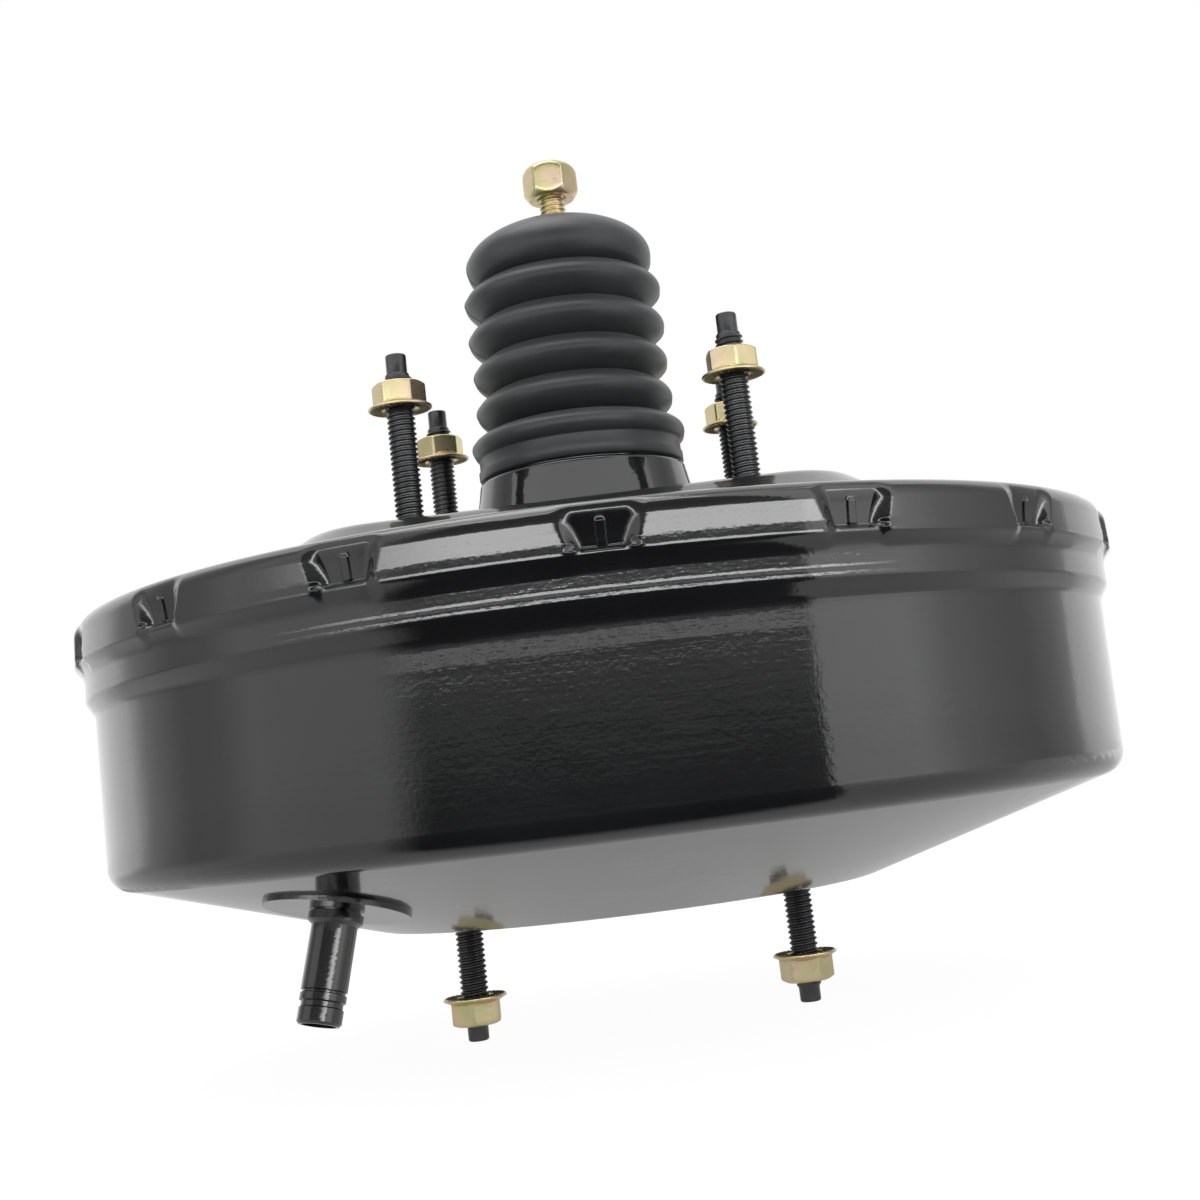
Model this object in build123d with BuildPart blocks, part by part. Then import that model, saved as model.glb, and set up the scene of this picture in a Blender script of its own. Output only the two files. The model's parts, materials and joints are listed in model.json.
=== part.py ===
from build123d import *
import math
import os

# Vacuum brake booster, built as its separate pieces, in millimetres.
# +Z runs along the booster's axis towards the pedal, the origin is the centre of the rear
# mounting face, and the long side of the rear stud rectangle lies along X.

os.makedirs("parts", exist_ok=True)

# ---- shells -------------------------------------------------------------------------
SHEET = 1.6               # wall of both pressed shells
RIM_R = 140.5             # outside of the rear shell's skirt
RIM_Z = -14.6             # top of the rim
SKIRT_Z = -26.4           # lower edge of the skirt
LIP_R = 136.2             # outside of the front shell's lip, inside the skirt
LIP_Z = -18.6
GROOVE_R = 133.2          # groove the crimps lock into
BAND_R = 138.2            # second band, close below the skirt
BAND_TOP_Z = -26.75
BAND_LOW_Z = -35.2
WALL_TOP_R = 136.0
WALL_LOW_R = 135.0
WALL_TOP_Z = -38.6
CORNER_Z = -81.5          # where the wall would meet the conical face
PLATE_R = 66.4            # flat centre of the front face
FRONT_Z = -101.5
NOSE_R = 21.0             # cup that takes the master cylinder's nose
NOSE_Z = -92.0
NOSE_HOLE_R = 9.5
CRIMPS = 16
CRIMP_ANGLE = -86.0       # direction of the first crimp
CRIMP_HALF = 7.4          # half width of one crimp
DISH_R = 128.0            # foot of the rear shell's sloping face
SHELF_R = 83.5            # top of that slope
SHELF_Z = -5.8
PAD_X = 138.0             # raised mounting pad
PAD_Y = 124.0
PAD_CORNER = 18.0
PAD_DRAFT = 59.0          # of its sloping sides, from the axis
PAD_H = 9.0               # down to where the slopes are buried in the dish
PAD_CREST = 9.0
PAD_INSET = 0.44          # inner outline against the outer one
NECK_BASE_R = 32.6
NECK_TOP_R = 29.4
NECK_SHOULDER_Z = 16.6
NECK_UPPER_R = 27.4
NECK_TOP_Z = 25.0
NECK_HOLE_R = 22.9

# ---- studs and nuts, 5/16-18 UNC ----------------------------------------------------
STUD_X = 90.0             # rear pattern, long side
STUD_Y = 70.0             # rear pattern, short side
STUD_R = 3.97
STUD_NECK_R = 4.3         # pressed length inside shell and plate
THREAD_R = 3.9
STUD_HOLE_R = 4.35
STUD_SEAT = 20.0          # full-size length next to the mounting face
PILOT_R = 2.8
PILOT_LENGTH = 5.0
STUD_TIP_Z = 49.4
HEAD_R = 8.0
HEAD_H = 3.0
PLATE_T = 2.0             # both reinforcement plates
NUT_AF = 12.7
NUT_HEX_H = 6.0
NUT_FLANGE_R = 8.6
NUT_FLANGE_H = 1.7
NUT_BORE_R = 3.95
NUT_SEATS = [(-1, -1, 33.8), (1, -1, 31.7), (-1, 1, 33.2), (1, 1, 32.6)]
FRONT_STUD_X = 90.0
FRONT_STUD_TIP_Z = -133.5
FRONT_STUD_SEAT = 12.0
FRONT_NUT_SEATS = [(-1, -121.6), (1, -120.4)]

# ---- vacuum pipe --------------------------------------------------------------------
PIPE_ANGLE = -128.0
PIPE_RADIUS = 101.6       # distance of its foot from the booster's axis
PIPE_TILT = 18.0
PIPE_R = 5.25
PIPE_BORE_R = 3.9
PIPE_LENGTH = 25.6
PIPE_COLLAR_R = 6.3
PIPE_HOLE_R = 5.5

# ---- moving assembly ----------------------------------------------------------------
TUBE_R = 21.0             # tail of the valve body
TUBE_BORE_R = 18.2
TUBE_TOP_Z = 56.0
HUB_FLANGE_R = 34.0
HUB_FLANGE_Z = -38.0
HUB_SEAT_Z = -29.6        # face the diaphragm plate sits on
HUB_NECK_R = 24.0
HUB_NECK_Z = -24.0
BOSS_R = 19.5
BOSS_Z = -46.0
DISC_R = 15.0
DISC_Z = -35.0            # back of the reaction disc
DISC_T = 6.0
RUN = 0.05                # running clearance of sliding pieces
PLUNGER_R = 8.5
PLUNGER_NOSE_R = 6.0
BALL_R = 5.5
BALL_Z = -11.0
SEAT_Z = -4.0             # plane of both valve seats
CHAMBER_R = 15.6
STEP_Z = 9.0
ROD_R = 7.0               # output rod
ROD_END_Z = -92.5
ROD_TIP_Z = -99.5
SHANK_R = 5.0             # input rod
NUT_Z = 100.5
LOCK_NUT_AF = 14.3
LOCK_NUT_H = 11.0

front_spots = [(-FRONT_STUD_X / 2, 0), (FRONT_STUD_X / 2, 0)]
cone_slope = (CORNER_Z - FRONT_Z) / (WALL_LOW_R - PLATE_R)
pipe_foot_z = FRONT_Z + (PIPE_RADIUS - PLATE_R) * cone_slope
pipe_angle = math.radians(PIPE_ANGLE)
pipe_tilt = math.radians(PIPE_TILT)
outwards = Vector(math.cos(pipe_angle), math.sin(pipe_angle), 0)
pipe_foot = outwards * PIPE_RADIUS + Vector(0, 0, pipe_foot_z)
pipe_axis = outwards * math.sin(pipe_tilt) - Vector(0, 0, math.cos(pipe_tilt))
pipe_plane = Plane(origin=pipe_foot, x_dir=outwards.cross(pipe_axis), z_dir=pipe_axis)
cone_normal = outwards * cone_slope - Vector(0, 0, 1)
boss_plane = Plane(origin=pipe_foot, x_dir=outwards.cross(cone_normal), z_dir=cone_normal)


def sheet(points, radii, thickness):
    """Close a bent line into a strip: its own points out, points one thickness to its right back."""
    normals = []
    for (r0, z0), (r1, z1) in zip(points, points[1:]):
        length = math.hypot(r1 - r0, z1 - z0)
        normals.append(((z1 - z0) / length, (r0 - r1) / length))
    inner = []
    inner_radii = []
    for k, (r, z) in enumerate(points):
        before = normals[max(k - 1, 0)]
        after = normals[min(k, len(normals) - 1)]
        share = 1 + before[0] * after[0] + before[1] * after[1]
        inner.append(
            (r + thickness * (before[0] + after[0]) / share, z + thickness * (before[1] + after[1]) / share)
        )
        if 0 < k < len(points) - 1:
            turn = before[0] * after[1] - before[1] * after[0]
            bend = radii[k - 1] + (thickness if turn > 0 else -thickness)
            inner_radii.append(max(bend, 0.1))
    closed = list(points) + inner[::-1]
    return closed, [0] + list(radii) + [0, 0] + inner_radii[::-1] + [0]


def save(builder, label):
    """Label one piece and write it as its own STEP file."""
    builder.part.label = label
    export_step(builder.part, "parts/" + label + ".step")


# ---- front shell: lip, crimp groove, band, wall, cone, flat plate and nose cup --------
front_line = [
    (LIP_R, LIP_Z),
    (LIP_R, LIP_Z - 1.4),
    (GROOVE_R, LIP_Z - 4.8),
    (GROOVE_R, BAND_TOP_Z),
    (BAND_R, BAND_TOP_Z),
    (BAND_R, BAND_LOW_Z),
    (WALL_TOP_R, WALL_TOP_Z),
    (WALL_LOW_R, CORNER_Z),
    (PLATE_R, FRONT_Z),
    (NOSE_R, FRONT_Z),
    (NOSE_R, NOSE_Z),
    (NOSE_HOLE_R, NOSE_Z),
]
front_bends = [0.9, 1.0, 0.9, 1.5, 1.8, 1.8, 6.2, 8.8, 2.4, 1.8]
with BuildPart() as front_shell:
    with BuildSketch(Plane.XZ):
        with BuildLine():
            skin, bends = sheet(front_line, front_bends, SHEET)
            FilletPolyline(skin, radius=bends, close=True)
        make_face()
    revolve(axis=Axis.Z)
    with BuildSketch(boss_plane.offset(-1.2)):
        Circle(17.0)
    extrude(amount=2.1)
    with BuildSketch(pipe_plane.offset(-4.0)):
        Circle(PIPE_HOLE_R)
    extrude(amount=8.0, mode=Mode.SUBTRACT)
    with BuildSketch(Plane.XY.offset(FRONT_Z - 1.0)):
        with Locations(*front_spots):
            Circle(STUD_HOLE_R)
    extrude(amount=SHEET + 2.0, mode=Mode.SUBTRACT)
save(front_shell, "front_shell")

# ---- rear shell: skirt with crimps, dish, mounting pad and neck -----------------------
CRIMP_DENT = [(-26.9, 2.2), (-23.6, 3.6), (-15.8, 0.8)]   # height and depth of each section
CRIMP_FOLD = [(-26.4, 2.4), (-23.6, 3.6), (-17.2, 1.3)]
CRIMP_FLAT = 0.9          # half width of the punch's edge

with BuildPart() as crimp_dent:
    for height, depth in CRIMP_DENT:
        with BuildSketch(Plane.XY.offset(height)):
            Polygon(
                (RIM_R + 1.0, -CRIMP_HALF - 1.6),
                (RIM_R - depth, -CRIMP_FLAT),
                (RIM_R - depth, CRIMP_FLAT),
                (RIM_R + 1.0, CRIMP_HALF + 1.6),
                align=None,
            )
    loft(ruled=True)

with BuildPart() as crimp_fold:
    for height, depth in CRIMP_FOLD:
        with BuildSketch(Plane.XY.offset(height)):
            Polygon(
                (RIM_R - 1.0, -CRIMP_HALF),
                (RIM_R - depth - SHEET, -CRIMP_FLAT - 0.3),
                (RIM_R - depth - SHEET, CRIMP_FLAT + 0.3),
                (RIM_R - 1.0, CRIMP_HALF),
                align=None,
            )
    loft(ruled=True)

with BuildPart() as rear_shell:
    with BuildSketch(Plane.XZ):
        with BuildLine():
            FilletPolyline(
                (0, SKIRT_Z),
                (RIM_R, SKIRT_Z),
                (RIM_R, RIM_Z),
                (DISH_R, RIM_Z),
                (SHELF_R, SHELF_Z),
                (0, SHELF_Z),
                radius=(0, 0, 4.5, 5.0, 9.0, 0),
                close=True,
            )
        make_face()
    revolve(axis=Axis.Z)
    with BuildSketch():
        RectangleRounded(PAD_X, PAD_Y, PAD_CORNER)
    extrude(amount=-PAD_H, taper=-PAD_DRAFT)
    fillet(rear_shell.faces().sort_by(Axis.Z)[-1].edges(), PAD_CREST)
    with BuildSketch(Plane.XZ):
        with BuildLine():
            FilletPolyline(
                (0, -4.0),
                (NECK_BASE_R + 1.0, -4.0),
                (NECK_BASE_R + 1.0, -0.5),
                (NECK_BASE_R, 0.6),
                (NECK_TOP_R, NECK_SHOULDER_Z),
                (NECK_UPPER_R, NECK_SHOULDER_Z),
                (NECK_UPPER_R, NECK_TOP_Z),
                (0, NECK_TOP_Z),
                radius=(0, 0, 0, 0, 1.4, 0.3, 1.5, 0),
                close=True,
            )
        make_face()
    revolve(axis=Axis.Z)
    with BuildSketch(Plane.XZ):
        with BuildLine():
            FilletPolyline(
                (0, SKIRT_Z - 1.0),
                (RIM_R - SHEET, SKIRT_Z - 1.0),
                (RIM_R - SHEET, RIM_Z - SHEET),
                (DISH_R - 0.2, RIM_Z - SHEET),
                (SHELF_R - 0.2, SHELF_Z - SHEET),
                (0, SHELF_Z - SHEET),
                radius=(0, 0, 2.9, 6.6, 7.4, 0),
                close=True,
            )
        make_face()
    revolve(axis=Axis.Z, mode=Mode.SUBTRACT)
    with BuildSketch(Plane.XY.offset(-SHEET)):
        RectangleRounded(PAD_X - 2 * PAD_INSET, PAD_Y - 2 * PAD_INSET, PAD_CORNER - PAD_INSET)
    extrude(amount=SHEET - PAD_H, taper=-PAD_DRAFT, mode=Mode.SUBTRACT)
    with BuildSketch(Plane.XZ):
        Polygon(
            (0, -9.0),
            (NECK_BASE_R - SHEET, -9.0),
            (NECK_BASE_R - SHEET, 0),
            (NECK_TOP_R - SHEET, NECK_SHOULDER_Z - SHEET),
            (NECK_UPPER_R - SHEET, NECK_SHOULDER_Z - SHEET + 1.0),
            (NECK_UPPER_R - SHEET, NECK_TOP_Z - SHEET),
            (0, NECK_TOP_Z - SHEET),
            align=None,
        )
    revolve(axis=Axis.Z, mode=Mode.SUBTRACT)
    with BuildSketch(Plane.XY.offset(NECK_TOP_Z - 4.0)):
        Circle(NECK_HOLE_R)
    extrude(amount=6.0, mode=Mode.SUBTRACT)
    with BuildSketch(Plane.XY.offset(-9.0)):
        with GridLocations(STUD_X, STUD_Y, 2, 2):
            Circle(STUD_HOLE_R)
    extrude(amount=12.0, mode=Mode.SUBTRACT)
    with PolarLocations(0, CRIMPS, start_angle=CRIMP_ANGLE):
        add(crimp_fold.part)
    with PolarLocations(0, CRIMPS, start_angle=CRIMP_ANGLE):
        add(crimp_dent.part, mode=Mode.SUBTRACT)
save(rear_shell, "rear_shell")

# ---- reinforcement plates and studs ---------------------------------------------------
with BuildPart() as rear_plate:
    with BuildSketch(Plane.XY.offset(-SHEET - PLATE_T)):
        RectangleRounded(128.0, 98.0, 22.0)
        Circle(36.0, mode=Mode.SUBTRACT)
        with GridLocations(STUD_X, STUD_Y, 2, 2):
            Circle(STUD_HOLE_R, mode=Mode.SUBTRACT)
    extrude(amount=PLATE_T)
    fillet(rear_plate.faces().sort_by(Axis.Z)[0].outer_wire().edges(), 0.6)
save(rear_plate, "rear_plate")

with BuildPart() as front_plate:
    with BuildSketch(Plane.XY.offset(FRONT_Z + SHEET)):
        SlotOverall(118.0, 58.0)
        Circle(24.0, mode=Mode.SUBTRACT)
        with Locations(*front_spots):
            Circle(STUD_HOLE_R, mode=Mode.SUBTRACT)
    extrude(amount=PLATE_T)
    fillet(front_plate.faces().sort_by(Axis.Z)[-1].outer_wire().edges(), 0.6)
save(front_plate, "front_plate")

with BuildPart() as rear_stud:
    with BuildSketch(Plane.XZ):
        with BuildLine():
            FilletPolyline(
                (0, -SHEET - PLATE_T - HEAD_H),
                (HEAD_R, -SHEET - PLATE_T - HEAD_H),
                (HEAD_R, -SHEET - PLATE_T),
                (STUD_NECK_R, -SHEET - PLATE_T),
                (STUD_NECK_R, 0),
                (STUD_R, 0),
                (STUD_R, STUD_SEAT),
                (THREAD_R, STUD_SEAT),
                (THREAD_R, STUD_TIP_Z - PILOT_LENGTH - 1.0),
                (PILOT_R, STUD_TIP_Z - PILOT_LENGTH),
                (PILOT_R, STUD_TIP_Z - 0.5),
                (PILOT_R - 0.5, STUD_TIP_Z),
                (0, STUD_TIP_Z),
                radius=(0, 0.8, 0, 0, 0, 0, 0, 0, 0, 0, 0, 0, 0),
                close=True,
            )
        make_face()
    revolve(axis=Axis.Z)

with BuildPart() as mounting_studs:
    with GridLocations(STUD_X, STUD_Y, 2, 2):
        add(rear_stud.part)
save(mounting_studs, "mounting_studs")

front_head_z = FRONT_Z + SHEET + PLATE_T
with BuildPart() as front_stud:
    with BuildSketch(Plane.XZ):
        with BuildLine():
            FilletPolyline(
                (0, front_head_z + HEAD_H),
                (HEAD_R, front_head_z + HEAD_H),
                (HEAD_R, front_head_z),
                (STUD_NECK_R, front_head_z),
                (STUD_NECK_R, FRONT_Z),
                (STUD_R, FRONT_Z),
                (STUD_R, FRONT_Z - FRONT_STUD_SEAT),
                (THREAD_R, FRONT_Z - FRONT_STUD_SEAT),
                (THREAD_R, FRONT_STUD_TIP_Z + 4.4),
                (PILOT_R, FRONT_STUD_TIP_Z + 3.6),
                (PILOT_R, FRONT_STUD_TIP_Z + 0.5),
                (PILOT_R - 0.5, FRONT_STUD_TIP_Z),
                (0, FRONT_STUD_TIP_Z),
                radius=(0, 0.8, 0, 0, 0, 0, 0, 0, 0, 0, 0, 0, 0),
                close=True,
            )
        make_face()
    revolve(axis=Axis.Z)

with BuildPart() as master_cylinder_studs:
    with Locations(*front_spots):
        add(front_stud.part)
save(master_cylinder_studs, "master_cylinder_studs")

# ---- flange nuts: hexagon, dished flange, bore with both ends chamfered ---------------
with BuildPart() as flange_nut:
    with BuildSketch(Plane.XY.offset(0.8)):
        RegularPolygon(NUT_AF / 2, 6, major_radius=False)
    extrude(amount=NUT_FLANGE_H - 0.8 + NUT_HEX_H)
    with BuildSketch(Plane.XZ):
        Polygon(
            (0, 0),
            (7.6, 0),
            (NUT_FLANGE_R + 1.0, -3.0),
            (NUT_FLANGE_R + 1.0, NUT_FLANGE_H + NUT_HEX_H - 1.4),
            (6.1, NUT_FLANGE_H + NUT_HEX_H),
            (0, NUT_FLANGE_H + NUT_HEX_H),
            align=None,
        )
    revolve(axis=Axis.Z, mode=Mode.INTERSECT)
    with BuildSketch(Plane.XZ):
        Polygon(
            (0, 0),
            (NUT_FLANGE_R, 0),
            (NUT_FLANGE_R, 0.7),
            (NUT_AF / 2, NUT_FLANGE_H + 0.5),
            (0, NUT_FLANGE_H + 0.5),
            align=None,
        )
    revolve(axis=Axis.Z)
    Hole(NUT_BORE_R)
    chamfer(flange_nut.edges().filter_by(GeomType.CIRCLE).sort_by(SortBy.RADIUS)[:2], 0.4)

with BuildPart() as mounting_nuts:
    for side_x, side_y, seat_z in NUT_SEATS:
        with Locations((side_x * STUD_X / 2, side_y * STUD_Y / 2, seat_z)):
            add(flange_nut.part, rotation=(0, 0, 17 * side_x + 9 * side_y))
save(mounting_nuts, "mounting_nuts")

with BuildPart() as master_cylinder_nuts:
    for side_x, seat_z in FRONT_NUT_SEATS:
        with Locations((side_x * FRONT_STUD_X / 2, 0, seat_z)):
            add(flange_nut.part, rotation=(180, 0, 14 + 10 * side_x))
save(master_cylinder_nuts, "master_cylinder_nuts")

# ---- vacuum pipe: flared inside the shell, collar, hose barb bead and two grooves -----
with BuildPart() as vacuum_pipe:
    with BuildSketch(Plane(origin=pipe_foot, x_dir=pipe_plane.x_dir, z_dir=pipe_plane.y_dir)):
        with BuildLine():
            FilletPolyline(
                (PIPE_BORE_R, 4.6),
                (PIPE_R, 4.6),
                (PIPE_R, -1.4),
                (PIPE_COLLAR_R, -1.4),
                (PIPE_COLLAR_R, -3.2),
                (PIPE_R, -4.0),
                (PIPE_R, -18.2),
                (PIPE_R - 0.4, -18.4),
                (PIPE_R - 0.4, -18.8),
                (PIPE_R, -19.0),
                (PIPE_R, -20.5),
                (PIPE_R - 0.5, -20.8),
                (PIPE_R - 0.5, -21.8),
                (PIPE_R - 0.2, -22.1),
                (PIPE_R - 0.2, -PIPE_LENGTH + 0.6),
                (PIPE_R - 0.7, -PIPE_LENGTH),
                (PIPE_BORE_R, -PIPE_LENGTH),
                radius=0,
                close=True,
            )
        make_face()
    revolve(axis=Axis(pipe_foot, pipe_axis))
save(vacuum_pipe, "vacuum_pipe")

# ---- rear neck: guide ring, lip seal and retainer; front cup: seal and retainer -------
with BuildPart() as guide_ring:
    with BuildSketch(Plane.XZ):
        Polygon(
            (TUBE_R + RUN, 8.3),
            (27.5, 8.3),
            (27.3, 14.6),
            (25.0, 15.4),
            (TUBE_R + RUN, 15.4),
            align=None,
        )
    revolve(axis=Axis.Z)
    with BuildSketch(Plane.XY.offset(8.0)):
        with PolarLocations(27.5, 12):
            Rectangle(3.0, 3.0)
    extrude(amount=4.0, mode=Mode.SUBTRACT)
save(guide_ring, "guide_ring")

with BuildPart() as hub_seal:
    with BuildSketch(Plane.XZ):
        Polygon(
            (TUBE_R + RUN, 15.6),
            (22.4, 15.6),
            (23.0, 20.0),
            (23.6, 20.0),
            (24.0, 15.6),
            (25.7, 16.6),
            (25.7, 23.2),
            (22.6, 23.2),
            (21.9, 21.0),
            (TUBE_R + 0.3, 19.2),
            (TUBE_R + RUN, 18.0),
            align=None,
        )
    revolve(axis=Axis.Z)
save(hub_seal, "hub_seal")

with BuildPart() as seal_retainer:
    with BuildSketch(Plane.XZ):
        with BuildLine():
            strip, bends = sheet(
                [(22.4, 8.1), (28.7, 8.1), (29.6, 4.4)],
                [1.5],
                1.2,
            )
            FilletPolyline(strip, radius=bends, close=True)
        make_face()
    revolve(axis=Axis.Z)
save(seal_retainer, "seal_retainer")

with BuildPart() as front_seal:
    with BuildSketch(Plane.XZ):
        Polygon(
            (ROD_R + 0.06, -89.6),
            (9.2, -89.6),
            (9.2, -90.3),
            (19.4, -90.3),
            (19.4, -85.2),
            (11.0, -85.2),
            (10.2, -87.6),
            (9.2, -87.6),
            (8.2, -84.6),
            (ROD_R + 0.06, -85.6),
            align=None,
        )
    revolve(axis=Axis.Z)
save(front_seal, "front_seal")

with BuildPart() as front_seal_retainer:
    with BuildSketch(Plane.XZ):
        with BuildLine():
            strip, bends = sheet(
                [(10.8, -83.9), (20.6, -83.9), (20.6, -90.3)],
                [1.4],
                1.1,
            )
            FilletPolyline(strip, radius=bends, close=True)
        make_face()
    revolve(axis=Axis.Z)
save(front_seal_retainer, "front_seal_retainer")

# ---- rubber boot: cuff over the neck, five bellows, dome closing on the rod -----------
BOOT_T = 1.5
VALLEY_R = 24.2
bellows = [(36.95, 28.3), (47.6, 28.1), (58.3, 28.5), (69.7, 28.6)]
valleys = [31.4, 42.3, 52.95, 64.0, 74.9]
dome = [(26.9, 79.8), (24.6, 85.2), (17.6, 89.8), (9.4, 92.3)]

with BuildPart() as boot:
    with BuildSketch(Plane.XZ):
        with BuildLine():
            Polyline((VALLEY_R - BOOT_T, valleys[0]), (27.9 - BOOT_T, 27.4), (27.9 - BOOT_T, 25.1))
            Polyline((27.9 - BOOT_T, 25.1), (27.45, 25.1), (27.45, 17.3))
            Polyline((27.45, 17.3), (29.2, 17.3), (29.2, 20.0), (28.8, 20.6), (28.8, 23.4))
            ThreePointArc((28.8, 23.4), (30.5, 26.6), (28.2, 29.6))
            Line((28.2, 29.6), (VALLEY_R, valleys[0]))
            for (low, high), (middle, peak) in zip(zip(valleys, valleys[1:]), bellows):
                ThreePointArc((VALLEY_R, low), (peak, middle), (VALLEY_R, high))
                ThreePointArc(
                    (VALLEY_R - BOOT_T, low), (peak - BOOT_T, middle), (VALLEY_R - BOOT_T, high)
                )
            Spline((VALLEY_R, valleys[-1]), *dome)
            Spline(
                (VALLEY_R - BOOT_T, valleys[-1]),
                *[(r - 1.3, z - 1.2) for r, z in dome[:-1]],
                (8.2, dome[-1][1] - 1.6),
            )
            Polyline(dome[-1], (8.0, 92.6), (4.35, 92.6), (4.35, 88.4), (7.2, 88.4), (8.2, dome[-1][1] - 1.6))
        make_face()
    revolve(axis=Axis.Z)
save(boot, "boot")

# ---- diaphragm and the plate behind it ------------------------------------------------
RUBBER = 1.6
ROLL_OUT_R = 130.2
ROLL_IN_R = 112.6
ROLL_Z = -38.0
plate_line = [
    (24.3, HUB_SEAT_Z + 1.4),
    (48.0, HUB_SEAT_Z + 1.4),
    (58.0, -21.0),
    (101.0, -21.0),
    (111.4, -24.0),
    (111.4, -33.0),
]
with BuildPart() as diaphragm_plate:
    with BuildSketch(Plane.XZ):
        with BuildLine():
            strip, bends = sheet(plate_line, [4.0, 4.0, 6.0, 4.0], 1.4)
            FilletPolyline(strip, radius=bends, close=True)
        make_face()
    revolve(axis=Axis.Z)
save(diaphragm_plate, "diaphragm_plate")

roll_r = (ROLL_OUT_R - ROLL_IN_R) / 2
roll_mid = (ROLL_OUT_R + ROLL_IN_R) / 2
half = RUBBER / 2
with BuildPart() as diaphragm:
    with BuildSketch(Plane.XZ):
        with Locations((roll_mid, ROLL_Z)):
            Circle(roll_r + half)
            Circle(roll_r - half, mode=Mode.SUBTRACT)
        with Locations((roll_mid, ROLL_Z + roll_r + half)):
            Rectangle(2 * roll_r + RUBBER, 2 * roll_r + RUBBER, mode=Mode.SUBTRACT)
        with BuildLine():
            cover, bends = sheet(
                [
                    (27.0, -26.2),
                    (47.5, -26.2),
                    (57.4, -19.1),
                    (101.2, -19.1),
                    (ROLL_IN_R + half, -22.4),
                    (ROLL_IN_R + half, ROLL_Z),
                ],
                [5.6, 5.6, 7.6, 6.0],
                RUBBER,
            )
            FilletPolyline(cover, radius=bends, close=True)
        make_face()
        Polygon(
            (ROLL_OUT_R - half, ROLL_Z),
            (ROLL_OUT_R + half, ROLL_Z),
            (ROLL_OUT_R + half, -23.3),
            (134.0, -19.4),
            (134.3, -17.0),
            (133.4, -16.35),
            (127.6, -16.35),
            (127.0, -18.2),
            (ROLL_OUT_R - half, -24.0),
            align=None,
        )
        Polygon(
            (HUB_NECK_R + 0.05, -28.1),
            (28.0, -28.1),
            (29.6, -26.9),
            (27.6, -24.4),
            (HUB_NECK_R + 0.05, -24.4),
            align=None,
        )
    revolve(axis=Axis.Z)
save(diaphragm, "diaphragm")

# ---- valve body -----------------------------------------------------------------------
KEY_Z = -21.9
KEY_T = 3.0
KEY_W = 18.0
with BuildPart() as valve_body:
    with BuildSketch(Plane.XZ):
        with BuildLine():
            FilletPolyline(
                (DISC_R + 0.05, BOSS_Z),
                (BOSS_R, BOSS_Z),
                (BOSS_R, HUB_FLANGE_Z),
                (HUB_FLANGE_R, HUB_FLANGE_Z),
                (HUB_FLANGE_R, HUB_SEAT_Z),
                (HUB_NECK_R, HUB_SEAT_Z),
                (HUB_NECK_R, HUB_NECK_Z),
                (TUBE_R, HUB_NECK_Z + 1.0),
                (TUBE_R, TUBE_TOP_Z),
                (TUBE_BORE_R, TUBE_TOP_Z),
                (TUBE_BORE_R, STEP_Z),
                (CHAMBER_R, STEP_Z),
                (CHAMBER_R, SEAT_Z - 4.0),
                (13.2, SEAT_Z - 4.0),
                (13.0, SEAT_Z),
                (11.2, SEAT_Z),
                (11.0, -10.5),
                (PLUNGER_R + RUN, -10.5),
                (PLUNGER_R + RUN, -27.0),
                (PLUNGER_NOSE_R + RUN, -27.0),
                (PLUNGER_NOSE_R + RUN, DISC_Z),
                (DISC_R + 0.05, DISC_Z),
                radius=(0, 0, 0, 1.2, 0.8, 0, 0.6, 0, 0, 0, 0, 0, 0, 0.8, 0.4, 0.4, 0, 0, 0, 0, 0, 0),
                close=True,
            )
        make_face()
    revolve(axis=Axis.Z)
    with BuildSketch(Plane.XY.offset(KEY_Z - 0.2)):
        with Locations((HUB_NECK_R / 2 + 1.0, 0)):
            Rectangle(HUB_NECK_R + 2.0, KEY_W + 0.2)
    extrude(amount=KEY_T + 0.4, mode=Mode.SUBTRACT)
    for turn in range(4):
        passage = Plane.XY.rotated((0, 0, 45 + 90 * turn))
        near = passage.from_local_coords(Vector(14.3, 0, -8.0))
        far = passage.from_local_coords(Vector(22.6, 0, HUB_FLANGE_Z))
        along = (far - near).normalized()
        with BuildSketch(Plane(origin=near - along * 0.6, z_dir=along)):
            Circle(1.2)
        extrude(amount=(far - near).length + 3.0, mode=Mode.SUBTRACT)
save(valve_body, "valve_body")

with BuildPart() as valve_key:
    with BuildSketch(Plane.XY.offset(KEY_Z)):
        with Locations((12.0, 0)):
            Rectangle(32.0, KEY_W)
        with Locations((-2.0, 0)):
            SlotOverall(32.0, 2 * PLUNGER_NOSE_R + 1.0, mode=Mode.SUBTRACT)
        with Locations((-10.0, 0)):
            Rectangle(20.0, 2 * KEY_W, mode=Mode.SUBTRACT)
    extrude(amount=KEY_T)
    fillet(valve_key.edges().filter_by(Axis.Z).group_by(Axis.X)[-1], 3.0)
save(valve_key, "valve_key")

# ---- reaction disc, output rod and its retainer, return spring ------------------------
with BuildPart() as reaction_disc:
    with BuildSketch(Plane.XY.offset(DISC_Z - DISC_T)):
        Circle(DISC_R)
    extrude(amount=DISC_T - 0.02)
    chamfer(reaction_disc.edges(), 0.5)
save(reaction_disc, "reaction_disc")

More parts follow.
